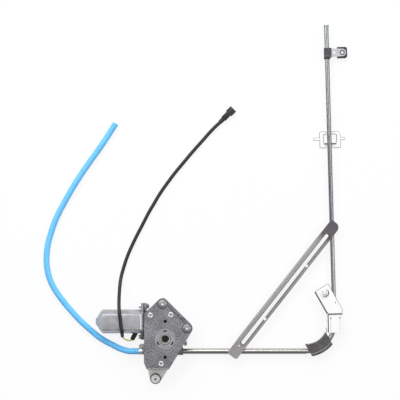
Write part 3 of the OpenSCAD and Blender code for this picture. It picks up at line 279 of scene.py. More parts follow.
black_sleeve = tube_along("black_sleeve", sleeve_line, sleeve_radius, wall=sleeve_wall)
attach(black_sleeve, "frame")
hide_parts("lead_sleeve")
print("sleeve length in mm:", round(length_of(sleeve_line) * 1000, 1))

# %% [markdown]
# Most of the metal here is zinc plated, cast or drawn. Each finish is a small node tree on Object
# coordinates, so its grain has a real size in metres and stays put when a piece moves. A coarse noise
# makes the clouding, a fine one the grain, and a bump gives the surface its tooth.

# %% Layers of a finish
def noise(tree, place, scale, detail):
    """The value of a noise on the piece's own coordinates."""
    texture = tree.nodes.new("ShaderNodeTexNoise")
    texture.inputs["Scale"].default_value = scale
    texture.inputs["Detail"].default_value = detail
    tree.links.new(place, texture.inputs["Vector"])
    return texture.outputs["Fac"]


def multiplied(tree, colour, tint):
    """One colour times another. A mix node keeps its two colours in sockets 6 and 7, its result in 2."""
    blend = tree.nodes.new("ShaderNodeMix")
    blend.data_type = "RGBA"
    blend.blend_type = "MULTIPLY"
    blend.inputs["Factor"].default_value = 1.0
    tree.links.new(colour, blend.inputs[6])
    tree.links.new(tint, blend.inputs[7])
    return blend.outputs[2]


def tint_along(tree, place, way, stops):
    """A tint that changes along a direction: stops of (distance in metres, tint)."""
    first, last = stops[0][0], stops[-1][0]
    along = tree.nodes.new("ShaderNodeVectorMath")
    along.operation = "DOT_PRODUCT"
    along.inputs[1].default_value = way
    span = tree.nodes.new("ShaderNodeMapRange")
    span.inputs["From Min"].default_value = first
    span.inputs["From Max"].default_value = last
    tree.links.new(place, along.inputs[0])
    tree.links.new(along.outputs["Value"], span.inputs["Value"])
    return ramp(tree, span.outputs["Result"],
                [((distance - first) / (last - first), tint) for distance, tint in stops])


# %% [markdown]
# One function makes every finish, so that all of them answer to the same few words: how much it clouds, how
# fine its grain is, how deep its bump goes, and whether it is speckled or carries a tint that changes along
# the piece. On the rail that tint is painted reflection.

# %% One finish
bump_depth = 0.0004


def finish(name, colour, metal, rough, cloud=0.12, grain=900.0, bump=0.05, coarse=60.0,
           rough_swing=0.12, speck=0.0, crisp=0.2, fade=None):
    """One finish: a colour that clouds and speckles, a roughness that varies and a fine bump."""
    made = bpy.data.materials.new(name)
    made.use_nodes = True
    tree = made.node_tree
    shader = tree.nodes["Principled BSDF"]
    place = tree.nodes.new("ShaderNodeTexCoord").outputs["Object"]
    fine = noise(tree, place, grain, 3)
    skin = ramp(tree, noise(tree, place, coarse, 5), [
        (0.5 - crisp, [max(0.0, c * (1 - cloud)) for c in colour]),
        (0.5 + crisp, [min(1.0, c * (1 + cloud)) for c in colour])])
    if speck:
        skin = multiplied(tree, skin, ramp(tree, fine, [(0.38, [1 - speck] * 3), (0.62, (1, 1, 1))]))
    # A fade multiplies a tint along the piece into the colour; on the rail it is painted reflection.
    if fade:
        skin = multiplied(tree, skin, tint_along(tree, place, *fade))
    gloss = tree.nodes.new("ShaderNodeMapRange")
    gloss.inputs["To Min"].default_value = max(0.02, rough - rough_swing)
    gloss.inputs["To Max"].default_value = min(1.0, rough + rough_swing)
    dent = tree.nodes.new("ShaderNodeBump")
    dent.inputs["Strength"].default_value = bump
    dent.inputs["Distance"].default_value = bump_depth
    tree.links.new(skin, shader.inputs["Base Color"])
    tree.links.new(fine, gloss.inputs["Value"])
    tree.links.new(gloss.outputs["Result"], shader.inputs["Roughness"])
    tree.links.new(fine, dent.inputs["Height"])
    tree.links.new(dent.outputs["Normal"], shader.inputs["Normal"])
    shader.inputs["Metallic"].default_value = metal
    return made


# %% [markdown]
# The metals differ more in shine than in colour. The drawn tubes are the brightest, the sheet is satin and
# the casting dull and grainy. The tint along the rail is painted reflection, bands of light and dark, and
# the tint along the brace darkens towards its head.

# %% Metal finishes
cast_grey = finish("cast_grey", (0.31, 0.308, 0.33), 0.35, 0.5, cloud=0.22, grain=480, bump=0.3,
                   coarse=34, speck=0.62, crisp=0.14)
ring_grey = finish("ring_grey", (0.345, 0.335, 0.35), 0.5, 0.45, grain=700, bump=0.1, coarse=120)
can_zinc = finish("can_zinc", (0.46, 0.455, 0.48), 0.75, 0.36, cloud=0.14, grain=500, bump=0.03,
                  coarse=110)
tube_zinc = finish("tube_zinc", (0.36, 0.35, 0.33), 0.95, 0.26, cloud=0.03, grain=500, bump=0.002,
                   coarse=30, rough_swing=0.02)
up_the_rail = (0, 1, 0)
# Painted reflection along the rail: the tint brightens and darkens in bands, some bluish, as a room
# mirrored in the tube would.
rail_painted_reflection = [(0.03, (1, 1, 1)), (0.185, (0.95, 0.95, 0.97)), (0.21, (0.55, 0.55, 0.68)),
             (0.25, (0.6, 0.6, 0.7)), (0.30, (0.62, 0.62, 0.63)), (0.42, (0.75, 0.75, 0.75)),
             (0.56, (0.92, 0.97, 0.95))]
rail_zinc = finish("rail_zinc", (0.34, 0.34, 0.35), 0.95, 0.27, cloud=0.05, grain=500, bump=0.002,
                   coarse=14, rough_swing=0.02, fade=(up_the_rail, rail_painted_reflection))
up_the_brace = (0.617, 0.787, 0)
brace_film = [(0.05, (1, 0.96, 0.98)), (0.29, (1, 1, 1)), (0.312, (0.9, 0.88, 0.86)),
              (0.325, (0.36, 0.31, 0.29)), (0.343, (0.34, 0.31, 0.36))]
sheet_zinc = finish("sheet_zinc", (0.37, 0.36, 0.365), 0.6, 0.34, cloud=0.10, grain=400, bump=0.004,
                    coarse=30, rough_swing=0.04, fade=(up_the_brace, brace_film))
plate_zinc = finish("plate_zinc", (0.72, 0.71, 0.66), 0.4, 0.4, cloud=0.14, grain=500, bump=0.04)
pale_zinc = finish("pale_zinc", (0.93, 0.925, 0.915), 0.15, 0.42, cloud=0.02, grain=500, bump=0.01)
strap_bright = finish("strap_bright", (0.72, 0.72, 0.73), 0.9, 0.25, cloud=0.06, grain=500, bump=0.03)
# Painted shade for the edges, cut walls and creases of the pale sheet parts.
painted_edge_shade = finish("painted_edge_shade", (0.09, 0.09, 0.095), 0.3, 0.5, cloud=0.2)
screw_steel = finish("screw_steel", (0.42, 0.42, 0.43), 0.9, 0.3, grain=800, bump=0.03)
ground_steel = finish("ground_steel", (0.30, 0.30, 0.31), 1.0, 0.32, cloud=0.06, grain=800, bump=0.04)
dome_zinc = finish("dome_zinc", (0.30, 0.305, 0.315), 0.6, 0.42, cloud=0.25, grain=650, bump=0.1,
                   coarse=200, speck=0.25)
low_zinc = finish("low_zinc", (0.72, 0.72, 0.68), 0.45, 0.38, cloud=0.2, grain=700, coarse=200)
# Painted highlight for the rolled rivet ends, the can's edges and rim and the dimples of the domed bushes.
painted_highlight = finish("painted_highlight", (0.80, 0.80, 0.80), 0.6, 0.4, cloud=0.1, grain=800, bump=0.02)
hub_dark = finish("hub_dark", (0.055, 0.045, 0.045), 0.7, 0.4, cloud=0.3, grain=800, bump=0.1)
cable_steel = finish("cable_steel", (0.16, 0.16, 0.17), 1.0, 0.42, cloud=0.2, bump=0.1)
bronze = finish("sintered_bronze", (0.50, 0.49, 0.48), 0.7, 0.4, cloud=0.15, bump=0.1)
copper = finish("copper", (0.72, 0.38, 0.20), 1.0, 0.35, cloud=0.1)
lamination = finish("lamination", (0.22, 0.23, 0.25), 0.8, 0.45, cloud=0.1)
# Painted shade for holes, slots and grooves in the cast and turned parts.
painted_cut_shade = finish("painted_cut_shade", (0.022, 0.021, 0.022), 0.3, 0.5, cloud=0.3, bump=0.1)
print("metal finishes:", len(bpy.data.materials) - 1)

# %% [markdown]
# Rubber and plastic have no metal shine: the colour is their own, and a fine grain softens the highlights.

# %% Rubber, plastic and carbon finishes
# Painted highlight for the channel along the saddle.
saddle_painted_glint = finish("saddle_painted_glint", (0.24, 0.23, 0.235), 0.0, 0.45, cloud=0.2, grain=600, bump=0.1)
sleeve_rubber = finish("sleeve_rubber", (0.065, 0.06, 0.065), 0.0, 0.45, cloud=0.6, grain=500, bump=0.1,
                       coarse=330)
ferrite = finish("ferrite", (0.10, 0.10, 0.11), 0.1, 0.7, cloud=0.1, bump=0.1)
carbon = finish("carbon", (0.03, 0.03, 0.03), 0.0, 0.7, cloud=0.1)
seal_black = finish("seal_black", (0.018, 0.018, 0.02), 0.0, 0.5, cloud=0.2, grain=600, bump=0.1)
damper_grey = finish("damper_grey", (0.10, 0.10, 0.10), 0.0, 0.6, cloud=0.15, bump=0.1)
hose_blue = finish("hose_blue", (0.135, 0.54, 0.97), 0.0, 0.36, cloud=0.04, grain=400, bump=0.02,
                   coarse=30)
saddle_dark = finish("saddle_dark", (0.092, 0.084, 0.088), 0.0, 0.46, cloud=0.30, grain=420, bump=0.2,
                     coarse=150, speck=0.3)
plug_black = finish("plug_black", (0.018, 0.018, 0.02), 0.0, 0.42, cloud=0.15, grain=700, bump=0.08)
sleeve_black = finish("sleeve_black", (0.012, 0.012, 0.013), 0.0, 0.45, cloud=0.15, grain=500)
wire_yellow = finish("wire_yellow", (0.93, 0.76, 0.30), 0.0, 0.4, cloud=0.05)
nylon = finish("nylon", (0.78, 0.76, 0.68), 0.0, 0.45, cloud=0.05)
phenolic = finish("phenolic", (0.22, 0.11, 0.05), 0.0, 0.5, cloud=0.15)
print("finishes:", len(bpy.data.materials) - 1)

# %% [markdown]
# Every exact part gets its finish first, also those inside the motor and the housing, because they show
# when someone opens the part up. Some are replaced below by a piece that is modelled with more care.

# %% Dress the exact parts
def dress(made, *names):
    """Gives a finish to exact parts by name, or to pieces made here."""
    for name in names:
        piece = nodes.get(name) or bpy.data.objects[name]
        if not piece.data.materials:
            piece.data.materials.append(made)
        for place in piece.material_slots:
            place.material = made


dress(cast_grey, "motor_flange", "gear_housing")
dress(ring_grey, "hub_ring")
dress(can_zinc, "motor_can")
dress(tube_zinc, "support_tube")
dress(rail_zinc, "guide_rail")
dress(plate_zinc, "base_plate")
dress(sheet_zinc, "brace")
dress(pale_zinc, "carrier_bracket", "mid_bracket", "glass_nut")
dress(strap_bright, "clip_strap", "hose_clamp")
dress(screw_steel, "housing_rivets", "fixing_bushes", "lower_bush", "hose_spigot", "clamp_screw",
      "motor_screws", "clip_eyelet", "slider_rivets")
dress(ground_steel, "brush_springs", "drive_gear", "motor_shaft", "worm")
dress(hub_dark, "gear_spindle", "drive_hub")
dress(cable_steel, "rack_cable")
dress(bronze, "hub_bush", "rear_bearing", "front_bearing", "worm_bearing")
dress(copper, "connector_pins", "commutator", "windings")
dress(ferrite, "field_magnets")
dress(lamination, "armature_core")
dress(carbon, "carbon_brushes")
dress(damper_grey, "bush_seals", "drive_damper")
dress(sleeve_rubber, "clip_sleeve")
dress(seal_black, "lower_grommet", "motor_gasket", "stop_ring", "clip_pad", "lead_boot",
      "connector_collar")
dress(hose_blue, "tail_hose", "hose_end", "blue_hose")
dress(saddle_dark, "corner_saddle")
dress(plug_black, "connector_body")
dress(sleeve_black, "lead_sleeve", "black_sleeve")
dress(wire_yellow, "lead_wires")
dress(nylon, "thrust_pad", "worm_wheel", "slider")
dress(phenolic, "brush_plate")
print("parts with a finish:", sum(1 for o in nodes.values() if o.material_slots))

# %% [markdown]
# The rest of the pieces are modelled by hand from plain starts. The first helpers add a primitive at its
# size and place in millimetres, or turn and move a piece. Each leaves the object at the origin with its
# place in its mesh, as the exact parts have it.

# %% Plain starts
def alone(piece):
    """Selects one piece and makes it active."""
    bpy.ops.object.select_all(action="DESELECT")
    piece.select_set(True)
    bpy.context.view_layer.objects.active = piece


def placed(piece, spot=(0, 0, 0), turn=0.0):
    """Turns a piece on the bench by an angle, moves it in millimetres and keeps both in its mesh."""
    piece.rotation_euler = (0, 0, turn)
    piece.location = Vector(spot) / 1000
    alone(piece)
    bpy.ops.object.transform_apply(location=True, rotation=True, scale=True)
    return piece


def settled(name):
    """The new primitive, named, with its place and turn applied to its mesh."""
    piece = bpy.context.object
    piece.name = name
    bpy.ops.object.transform_apply(location=True, rotation=True, scale=True)
    return piece


def block(low, high, name="block"):
    """A box between two corners in millimetres."""
    bpy.ops.object.select_all(action="DESELECT")
    low, high = Vector(low) / 1000, Vector(high) / 1000
    bpy.ops.mesh.primitive_cube_add(size=1, location=(low + high) / 2, scale=high - low)
    return settled(name)


def rod(start, end, radius, end_radius=None, sides=48):
    """A round bar or a taper between two places in millimetres."""
    bpy.ops.object.select_all(action="DESELECT")
    start, end = Vector(start) / 1000, Vector(end) / 1000
    way = end - start
    turn = way.to_track_quat("Z", "Y").to_euler()
    end_radius = radius if end_radius is None else end_radius
    bpy.ops.mesh.primitive_cone_add(vertices=sides, radius1=radius / 1000, radius2=end_radius / 1000,
                                    depth=way.length, location=(start + end) / 2, rotation=turn)
    return settled("rod")


def post(spot, low, high, radius, end_radius=None, sides=48):
    """A rod that stands on a spot (x, y), between two heights."""
    return rod((*spot, low), (*spot, high), radius, end_radius, sides)


def bar(axis, start, end, radius, end_radius=None):
    """A rod that lies along X on an axis (y, z)."""
    return rod((start, *axis), (end, *axis), radius, end_radius)


# %% [markdown]
# A piece grows by welding and cutting. A boolean cut can be lined: the tool then carries the piece's second
# finish into the hole, where it is mostly painted shade and in a few places a painted highlight. A bevel
# rounds the edges, since no real edge is a knife edge, and its new faces can take the second finish too:
# painted shade on the pale sheet and a painted highlight on the can.

# %% Cuts and edges
def merge(name, *parts):
    """Joins loose parts into one object without welding them."""
    bpy.ops.object.select_all(action="DESELECT")
    for part in parts:
        part.select_set(True)
    bpy.context.view_layer.objects.active = parts[0]
    bpy.ops.object.join()
    parts[0].name = name
    return parts[0]


def coated(piece, *finishes):
    """Gives a piece its finishes in order: the first is the skin, the next one lines cuts or edges."""
    piece.data.materials.clear()
    for made in finishes:
        piece.data.materials.append(made)
    return piece


def all_second(piece):
    """Gives every face of a piece its second finish."""
    piece.data.polygons.foreach_set("material_index", [1] * len(piece.data.polygons))
    return piece


def carve(piece, *tools, how="DIFFERENCE", lined=False):
    """Cuts tools out of a piece, or welds them on. A lined cut takes the piece's second finish."""
    for tool in tools:
        if lined:
            all_second(coated(tool, *piece.data.materials))
        alone(piece)
        step = piece.modifiers.new("step", "BOOLEAN")
        step.operation = how
        step.solver = "EXACT"
        step.object = tool
        bpy.ops.object.modifier_apply(modifier="step")
        bpy.data.objects.remove(tool)
    return piece


def sliced(piece, height, upward):
    """Cuts a piece along a level plane, throws the part above or below it away and closes the cut."""
    alone(piece)
    bpy.ops.object.mode_set(mode="EDIT")
    bpy.ops.mesh.select_all(action="SELECT")
    bpy.ops.mesh.bisect(plane_co=(0, 0, height / 1000), plane_no=(0, 0, 1 if upward else -1),
                        use_fill=True, clear_outer=True)
    bpy.ops.object.mode_set(mode="OBJECT")
    return piece


def soften(piece, width, segments=2, angle=32, edged=False):
    """Rounds every edge sharper than the angle. An edged rounding takes the piece's second finish."""
    alone(piece)
    round_off = piece.modifiers.new("round_off", "BEVEL")
    round_off.width = width / 1000
    round_off.segments = segments
    round_off.limit_method = "ANGLE"
    round_off.angle_limit = math.radians(angle)
    if edged:
        round_off.material = 1
    bpy.ops.object.modifier_apply(modifier="round_off")
    return piece


# %% [markdown]
# Three forms come up again and again on this object: a flat plate with rounded corners, a bar that is
# pressed or drawn to one section, and a piece turned on a lathe. Each has its own helper.

# %% Plates, sections and turned pieces
def plate(corners, low, high, name="plate", flare=0.0):
    """A flat plate: a post at each corner (x, y, radius), all wrapped in a convex hull."""
    posts = [post((x, y), low, high, r, r + flare, sides=40) for x, y, r in corners]
    slab = merge(name, *posts)
    alone(slab)
    bpy.ops.object.mode_set(mode="EDIT")
    bpy.ops.mesh.select_all(action="SELECT")
    bpy.ops.mesh.convex_hull()
    bpy.ops.mesh.dissolve_limited(angle_limit=math.radians(1))
    bpy.ops.object.mode_set(mode="OBJECT")
    return slab


def pressed(section, start, end, name="pressed"):
    """A bar of one section: a flat outline with as many corners as the section, extruded along X."""
    bpy.ops.object.select_all(action="DESELECT")
    bpy.ops.mesh.primitive_circle_add(vertices=len(section), radius=0.01, fill_type="NGON")
    strip = bpy.context.object
    strip.name = name
    for corner, (y, z) in zip(strip.data.vertices, section):
        corner.co = (start / 1000, y / 1000, z / 1000)
    bpy.ops.object.mode_set(mode="EDIT")
    bpy.ops.mesh.select_all(action="SELECT")
    bpy.ops.mesh.extrude_region_move(TRANSFORM_OT_translate={"value": ((end - start) / 1000, 0, 0)})
    bpy.ops.mesh.select_all(action="SELECT")
    bpy.ops.mesh.normals_make_consistent(inside=False)
    bpy.ops.object.mode_set(mode="OBJECT")
    return strip


def turned(profile, start=(0, 0, 0), way=(0, 0, 1), name="turned", sides=64, ring=False):
    """A round piece: a circle is extruded and resized from place to place of its profile."""
    bpy.ops.object.select_all(action="DESELECT")
    r, h = profile[0]
    bpy.ops.mesh.primitive_circle_add(vertices=sides, radius=r / 1000, location=(0, 0, h / 1000),
                                      fill_type="NOTHING" if ring else "NGON")
    piece = settled(name)
    bpy.ops.object.mode_set(mode="EDIT")
    bpy.ops.mesh.select_all(action="SELECT")
    for next_r, next_h in profile[1:] + (profile[:1] if ring else []):
        bpy.ops.mesh.extrude_region_move(TRANSFORM_OT_translate={"value": (0, 0, (next_h - h) / 1000)})
        bpy.ops.transform.resize(value=(next_r / r, next_r / r, 1), center_override=(0, 0, 0))
        r, h = next_r, next_h
    bpy.ops.mesh.select_all(action="SELECT")
    bpy.ops.mesh.remove_doubles(threshold=0.000001)
    bpy.ops.mesh.normals_make_consistent(inside=False)
    bpy.ops.object.mode_set(mode="OBJECT")
    piece.location = Vector(start) / 1000
    piece.rotation_euler = Vector(way).to_track_quat("Z", "Y").to_euler()
    return settled(name)


def finished(piece, body, made, slot_name, *replaced, angle=35):
    """Smooths, dresses and mounts a piece, and hides the exact parts it stands for."""
    alone(piece)
    bpy.ops.object.shade_smooth_by_angle(angle=math.radians(angle))
    if piece.data.materials:
        piece.data.materials[0] = made
    else:
        piece.data.materials.append(made)
    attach(piece, body)
    if replaced:
        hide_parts(*replaced)
    print(piece.name, "faces:", len(piece.data.polygons))
    return piece


# %% [markdown]
# The gear housing is a pressure casting: a deep tray with thick walls, a wider flange round its front, and
# rounded corners round the bushes. It starts as posts at its six corners wrapped in a hull, once for the
# flange and once, a little smaller, for the body behind it. Their edges are softened, and then the lug for
# the motor, the cable socket and the small pads are welded on.

# %% Gear housing, the casting
ear_places = ((39, 19.3), (-4.8, 63))
rivet_places = ((-26.6, 42.78), (10.07, 43.7), (-7.22, -43.93))
pad_places = ((-26.6, 10.12), (30.78, 0))
motor_axis, tube_axis = (30.5, -19), (-24.5, -31)
lug_axis = (58, motor_axis[1])
tray_low, flange_low, flange_back = -38, -7, -8


def casting_corners(ear, tight):
    """The corners of the housing: two wide ones round the ears and four tight ones."""
    return ([(x, y, ear) for x, y in ear_places]
            + [(-36.5, 44.5, tight), (-36.5, -41.5, tight), (-32.2, -52.5, tight), (6.1, -52.5, tight)])


casting = soften(plate(casting_corners(10.2, 1.5), flange_back, 0, "casting"), 0.9, segments=3)
coated(casting, cast_grey, painted_cut_shade)
tray = soften(plate(casting_corners(8.5, 1.35), tray_low, flange_low, "tray"), 0.8)
lug = [bar(lug_axis, -38, -34, 5.5), bar(lug_axis, -34.1, -29, 5.5, 2.4),
       block((-38, 40.5, lug_axis[1] - 5.5), (-34, lug_axis[0], lug_axis[1] + 5.5))]
socket = [bar(tube_axis, 7.6, 32, 7), block((34, -12, -12), (39, -5, -6))]
pads = [post(spot, -1, 0.4, 3) for spot in pad_places]
carve(casting, tray, *lug, *socket, *pads, how="UNION")
print("solid casting, faces:", len(casting.data.polygons))

# %% [markdown]
# Next come the cuts: the gear chamber from behind, the step and the seam along the edge between the ears,
# and the bores for the hub, the motor, the tube, the bushes, the rivets and the screws. The seam and the
# two blind holes are lined dark, as painted shade. The foot ends in a thin cast lip, which is a piece of
# its own here and takes the lighter ring finish as a painted highlight along the foot.

# %% Gear housing, the cuts
through, halfway, proud = -40, -20, 2
ear_gap = round(math.dist(*ear_places), 2)
ear_turn = math.atan2(ear_places[1][1] - ear_places[0][1], ear_places[1][0] - ear_places[0][0])


def between_ears(inner, outer, depth, name):
    """A bar cut along the line from ear to ear, which stops short of both bushes."""
    short = 9.5
    return placed(block((short, inner, -depth), (ear_gap - short, outer, proud), name),
                  (*ear_places[0], 0), ear_turn)


carve(casting, between_ears(-13, -5.2, 0.9, "rim"), post((0, 0), through, -13.5, 28, sides=96),
      post((0, 0), halfway, proud, 9.63), post((0, 0), -1.5, proud, 19.23, sides=96),
      bar(motor_axis, through, 19, 7), bar(tube_axis, through, 34, 2.8),
      bar(tube_axis, 23.5, 34, 5.03), bar(tube_axis, through, -29, 3.87))
for spot in ear_places:
    carve(casting, post(spot, through, proud, 5.03), post(spot, -2, proud, 9.5))
for spot in rivet_places:
    carve(casting, post(spot, through, proud, 2.03))
# The two blind holes are lined with painted shade.
for y in (-32, 32):
    carve(casting, post((0, y), -0.45, proud, 4.7))
    carve(casting, post((0, y), -9, -0.4, 2.9), lined=True)
for y in (3, 58):
    carve(casting, bar((y, motor_axis[1]), through, -30.5, 2.03))
# The seam is lined with painted shade, like the blind holes above.
carve(casting, between_ears(-4.9, -4, 0.5, "seam"), lined=True)
finished(casting, "frame", cast_grey, "cast_aluminium", "gear_housing")
# The lip takes the lighter ring finish as a painted highlight.
foot_lip = soften(block((-32, -53.4, -2), (6, -51.6, 0.35), "foot_lip"), 0.6)
finished(foot_lip, "frame", ring_grey, "cast_aluminium")

# %% [markdown]
# Three tubular rivets close the housing. Their ends are rolled over and split as they roll, and each rolled
# end is painted bright as a highlight, so it shows as a bright broken ring with a hollow middle. One is
# turned as a lathe would do it, from a circle that is extruded and resized along the profile, and it is
# copied to its three places, each with its own mesh.

# %% Rivets
rivet_back = -40
shank_profile = [(2, rivet_back), (2, -0.02), (2.5, 0.05), (2.1, 0.15), (1.2, -0.1)]
roll_profile = [(2.3, 0.02), (2.8, 0.6), (3.6, 0.85), (4.5, 0.6), (5, 0.02)]
shank = coated(turned(shank_profile, name="shank", sides=40), screw_steel, painted_highlight)
rolled_end = coated(turned(roll_profile, name="rolled_end", ring=True), screw_steel, painted_highlight)
# The whole rolled end takes the painted highlight.
all_second(rolled_end)
for degrees in (20, 150, 265):
    carve(rolled_end, placed(block((2, -0.7, 0.1), (6, 0.7, 2), "split"), turn=math.radians(degrees)))
rivet = merge("rivet", shank, rolled_end)
rivets = []
for spot in rivet_places:
    twin = bpy.data.objects.new("rivet", rivet.data.copy())
    bpy.context.scene.collection.objects.link(twin)
    rivets.append(placed(twin, (*spot, 0)))
bpy.data.objects.remove(rivet)
finished(merge("rolled_rivets", *rivets), "frame", screw_steel, "fixing_steel", "housing_rivets")

# %% [markdown]
# The motor can is deep-drawn steel: a round cup with two flats, a coned end and a small bearing boss at its
# tip. The cup is turned, sliced flat on both sides and softened, which gives the flats the curved ends that
# the real can shows, and the softened edges are painted bright as highlights. A second, smaller cup is cut
# out of it to leave a wall, and a rim painted bright all over as a highlight runs round its mouth.

# %% Motor can
mouth_x = -44.3
can_radius, can_flat, can_wall = 21.5, 17.2, 1.6


def cup(profile, flat):
    """A piece turned about the motor's axis from the mouth on, sliced flat in front and behind."""
    form = turned(profile, (mouth_x, *motor_axis), way=(-1, 0, 0), sides=96)
    return sliced(sliced(form, motor_axis[1] + flat, True), motor_axis[1] - flat, False)


can_profile = [(can_radius, 0), (can_radius, 67.6), (21.2, 68.6), (20.4, 69.8), (17.2, 72.4),
               (13.2, 75.2), (9.6, 76.9), (8.8, 77.5), (5.9, 80.2), (5, 80.8), (4.4, 81)]
bore_profile = [(can_radius - can_wall, -1), (can_radius - can_wall, 68), (14.2, 71.6)]
can = coated(cup(can_profile, can_flat), can_zinc, painted_highlight)
# The can's softened edges take the painted highlight.
soften(can, 1.0, angle=30, edged=True)
carve(can, cup(bore_profile, can_flat - can_wall), bar(motor_axis, -50, -122.1, 5.52))
rim_profile = [(21.6, -2), (22, -1.7), (22, -0.1), (can_radius, 0.3)]
# The rim is painted bright all over, as a highlight.
mouth_rim = all_second(coated(cup(rim_profile, 17.8), can_zinc, painted_highlight))
carve(mouth_rim, bar(motor_axis, -40, -50, 16))
finished(merge("motor_cup", can, mouth_rim), "frame", can_zinc, "can_steel", "motor_can", angle=30)

# %% [markdown]
# The exact solids of the sheet and cast parts have the right form but knife-sharp edges, and real edges
# always catch a line of light. A copy of such a part is merged, because the exact mesh is loose triangles,
# its flat faces are joined again, and its edges are rounded. On the sheet the rounding can take a darker
# finish, which is painted shade: the thin dark outline by which the pale sheet stands out from a white
# bench.

# %% One softened part
def eased(node, name, width, made, slot_name, edge=None, cuts=(), lining=None):
    """A copy of an exact part with softened edges and perhaps some lined cuts, which stands for it."""
    piece = bpy.data.objects.new(name, nodes[node].data.copy())
    bpy.context.scene.collection.objects.link(piece)
    coated(piece, *[layer for layer in (made, edge or lining) if layer])
    alone(piece)
    bpy.ops.object.mode_set(mode="EDIT")
    bpy.ops.mesh.select_all(action="SELECT")
    bpy.ops.mesh.remove_doubles(threshold=0.000002)
    bpy.ops.mesh.dissolve_limited(angle_limit=math.radians(0.6))
    bpy.ops.object.mode_set(mode="OBJECT")
    soften(piece, width, edged=bool(edge))
    carve(piece, *cuts, lined=bool(lining))
    return finished(piece, "frame", made, slot_name, node, angle=20)


# %% [markdown]
# Some of the softened parts carry small cuts that the solids leave out: the channel along the saddle, lined
# lighter grey as a painted highlight, the gap round the hub bush, the centre mark of the lower bush, lined
# dark as painted shade, and the dimples of the two domed ones, painted bright as highlights.

# %% Softened parts
saddle_middle, low_bush, low_head = (255, 26.5, 0), (-18.2, -74.6), -29
channel = turned([(54.9, -24.75), (56.5, -24.75), (56.5, -22), (54.9, -22)], saddle_middle,
                 name="channel", sides=120, ring=True)
bush_gap = turned([(8.8, -0.6), (9.4, -0.6), (9.4, 9), (8.8, 9)], name="bush_gap", sides=96, ring=True)
# The strap's softened edges take painted shade.
eased("clip_strap", "strap_pressing", 0.3, strap_bright, "strap_zinc", edge=painted_edge_shade)
eased("clip_pad", "pad_moulding", 0.8, seal_black, "seal_rubber")
eased("corner_saddle", "saddle_moulding", 0.6, saddle_dark, "saddle_plastic", cuts=[channel],
      lining=saddle_painted_glint)
eased("motor_flange", "flange_casting", 0.5, cast_grey, "cast_aluminium")
eased("hub_bush", "collar_bush", 0.3, bronze, "bush_bronze", cuts=[post((0, 0), -1, 9, 7.4), bush_gap],
      lining=hub_dark)
eased("base_plate", "plate_pressing", 0.5, plate_zinc, "zinc_plate")
eased("lower_bush", "low_fixing", 0.8, low_zinc, "fixing_steel",
      cuts=[post(low_bush, low_head - 1.2, low_head + 2, 1.7)], lining=painted_cut_shade)
# The dimples of the domed bushes are lined with the painted highlight.
eased("fixing_bushes", "domed_fixings", 0.5, dome_zinc, "fixing_steel",
      cuts=[post(spot, 1.2, 2.2, 0.9, 3.4) for spot in ear_places], lining=painted_highlight)

# %% [markdown]
# A flat ring with three slots is staked round the hub. It is turned with broken edges, and one bar makes
# the three slots, turned a third each time. The cuts are lined dark, as painted shade.

# %% Hub ring
ring_profile = [(9.65, -1.5), (9.65, 0.2), (9.9, 0.45), (18.6, 0.45), (19.15, -0.1), (19.15, -1.5)]
ring = coated(turned(ring_profile, name="ring", sides=96, ring=True), ring_grey, painted_cut_shade)
# The slots are lined with painted shade.
for third in range(3):
    notch = block((13.3, -3.2, -0.9), (16, 3.2, 2), "notch")
    carve(ring, placed(notch, turn=math.radians(90 + third * 120)), lined=True)
finished(ring, "frame", ring_grey, "ring_alloy", "hub_ring")

# %% [markdown]
# The brace is pressed from sheet: a long plate with both edges folded back, a slot with a narrow lip, two
# half-round notches and a small hole. It is built along X from its foot, with its fold lines well rounded.
# The flat ends are welded on a hair inside the channel's faces, because a boolean fails where two faces
# coincide.

# %% Brace, the pressing
run, half, depth, sheet, fold = 283.88, 10.75, 6, 1.8, 2.4
inside, shy = half - sheet, 0.02
arc = [i * math.pi / 16 for i in range(9)]
folded = [(half - fold + fold * math.cos(a), sheet - fold + fold * math.sin(a)) for a in arc]
section = ([(half, -depth)] + folded + [(-y, z) for y, z in reversed(folded)]
           + [(-half, -depth), (-inside, -depth), (-inside, -0.5), (0.5 - inside, 0),
              (inside - 0.5, 0), (inside, -0.5), (inside, -depth)])
brace = pressed(section, 20, run - 28, "brace")


def flat_end(corners, name):
    """A flat end of the brace with softened edges."""
    return soften(plate(corners, shy, sheet - shy, name), 0.5)


weld = half - 1 - shy
foot = flat_end([(-6, -6.25, 4.5), (-6, 6.25, 4.5), (24, weld, 1), (24, -weld, 1)], "foot")
head = flat_end([(run - 32, -weld, 1), (run - 32, weld, 1), (run + 9.9, 9.25, 1.5),
                 (run + 1.2, -0.2, 10.5)], "head")
slot_ends = [(22.25, -1, 3.25), (run - 17.5, -1, 3.25)]
bead = plate([(x, y, r + 2.9) for x, y, r in slot_ends], 1.6, 2.6, "bead", flare=-1.4)
lip = block((21, 2.25, -4), (run - 29, 4.05, 0.5), "lip")
carve(brace, foot, head, bead, lip, post((run, 0), -0.87, 1, 5.6), how="UNION")
print("pressing, faces:", len(brace.data.polygons))

# %% [markdown]
# The slot has a flared mouth in its bead, and its walls and the two small holes are lined with painted
# shade. When all the cuts are made, the brace is turned onto the line between the two tubes, which it
# crosses on their near side.

# %% Brace, the cuts
notch_shares = (0.28, 0.71)
notches = [post((share * run, -6.1), -8, 4, 2.5) for share in notch_shares]
carve(brace, plate(slot_ends, 1.3, 2.9, "flare", flare=1.6), *notches)
coated(brace, sheet_zinc, painted_edge_shade)
carve(brace, plate(slot_ends, -1.5, 3.5, "slot"), post((12.5, 1), -1, 3, 1.4),
      post((run + 4, 2), 1.3, 3, 1.2), lined=True)
placed(brace, (126, -24.5, -26), math.atan2(223.36, 175.21))
finished(brace, "frame", sheet_zinc, "zinc_plate", "brace", angle=14)

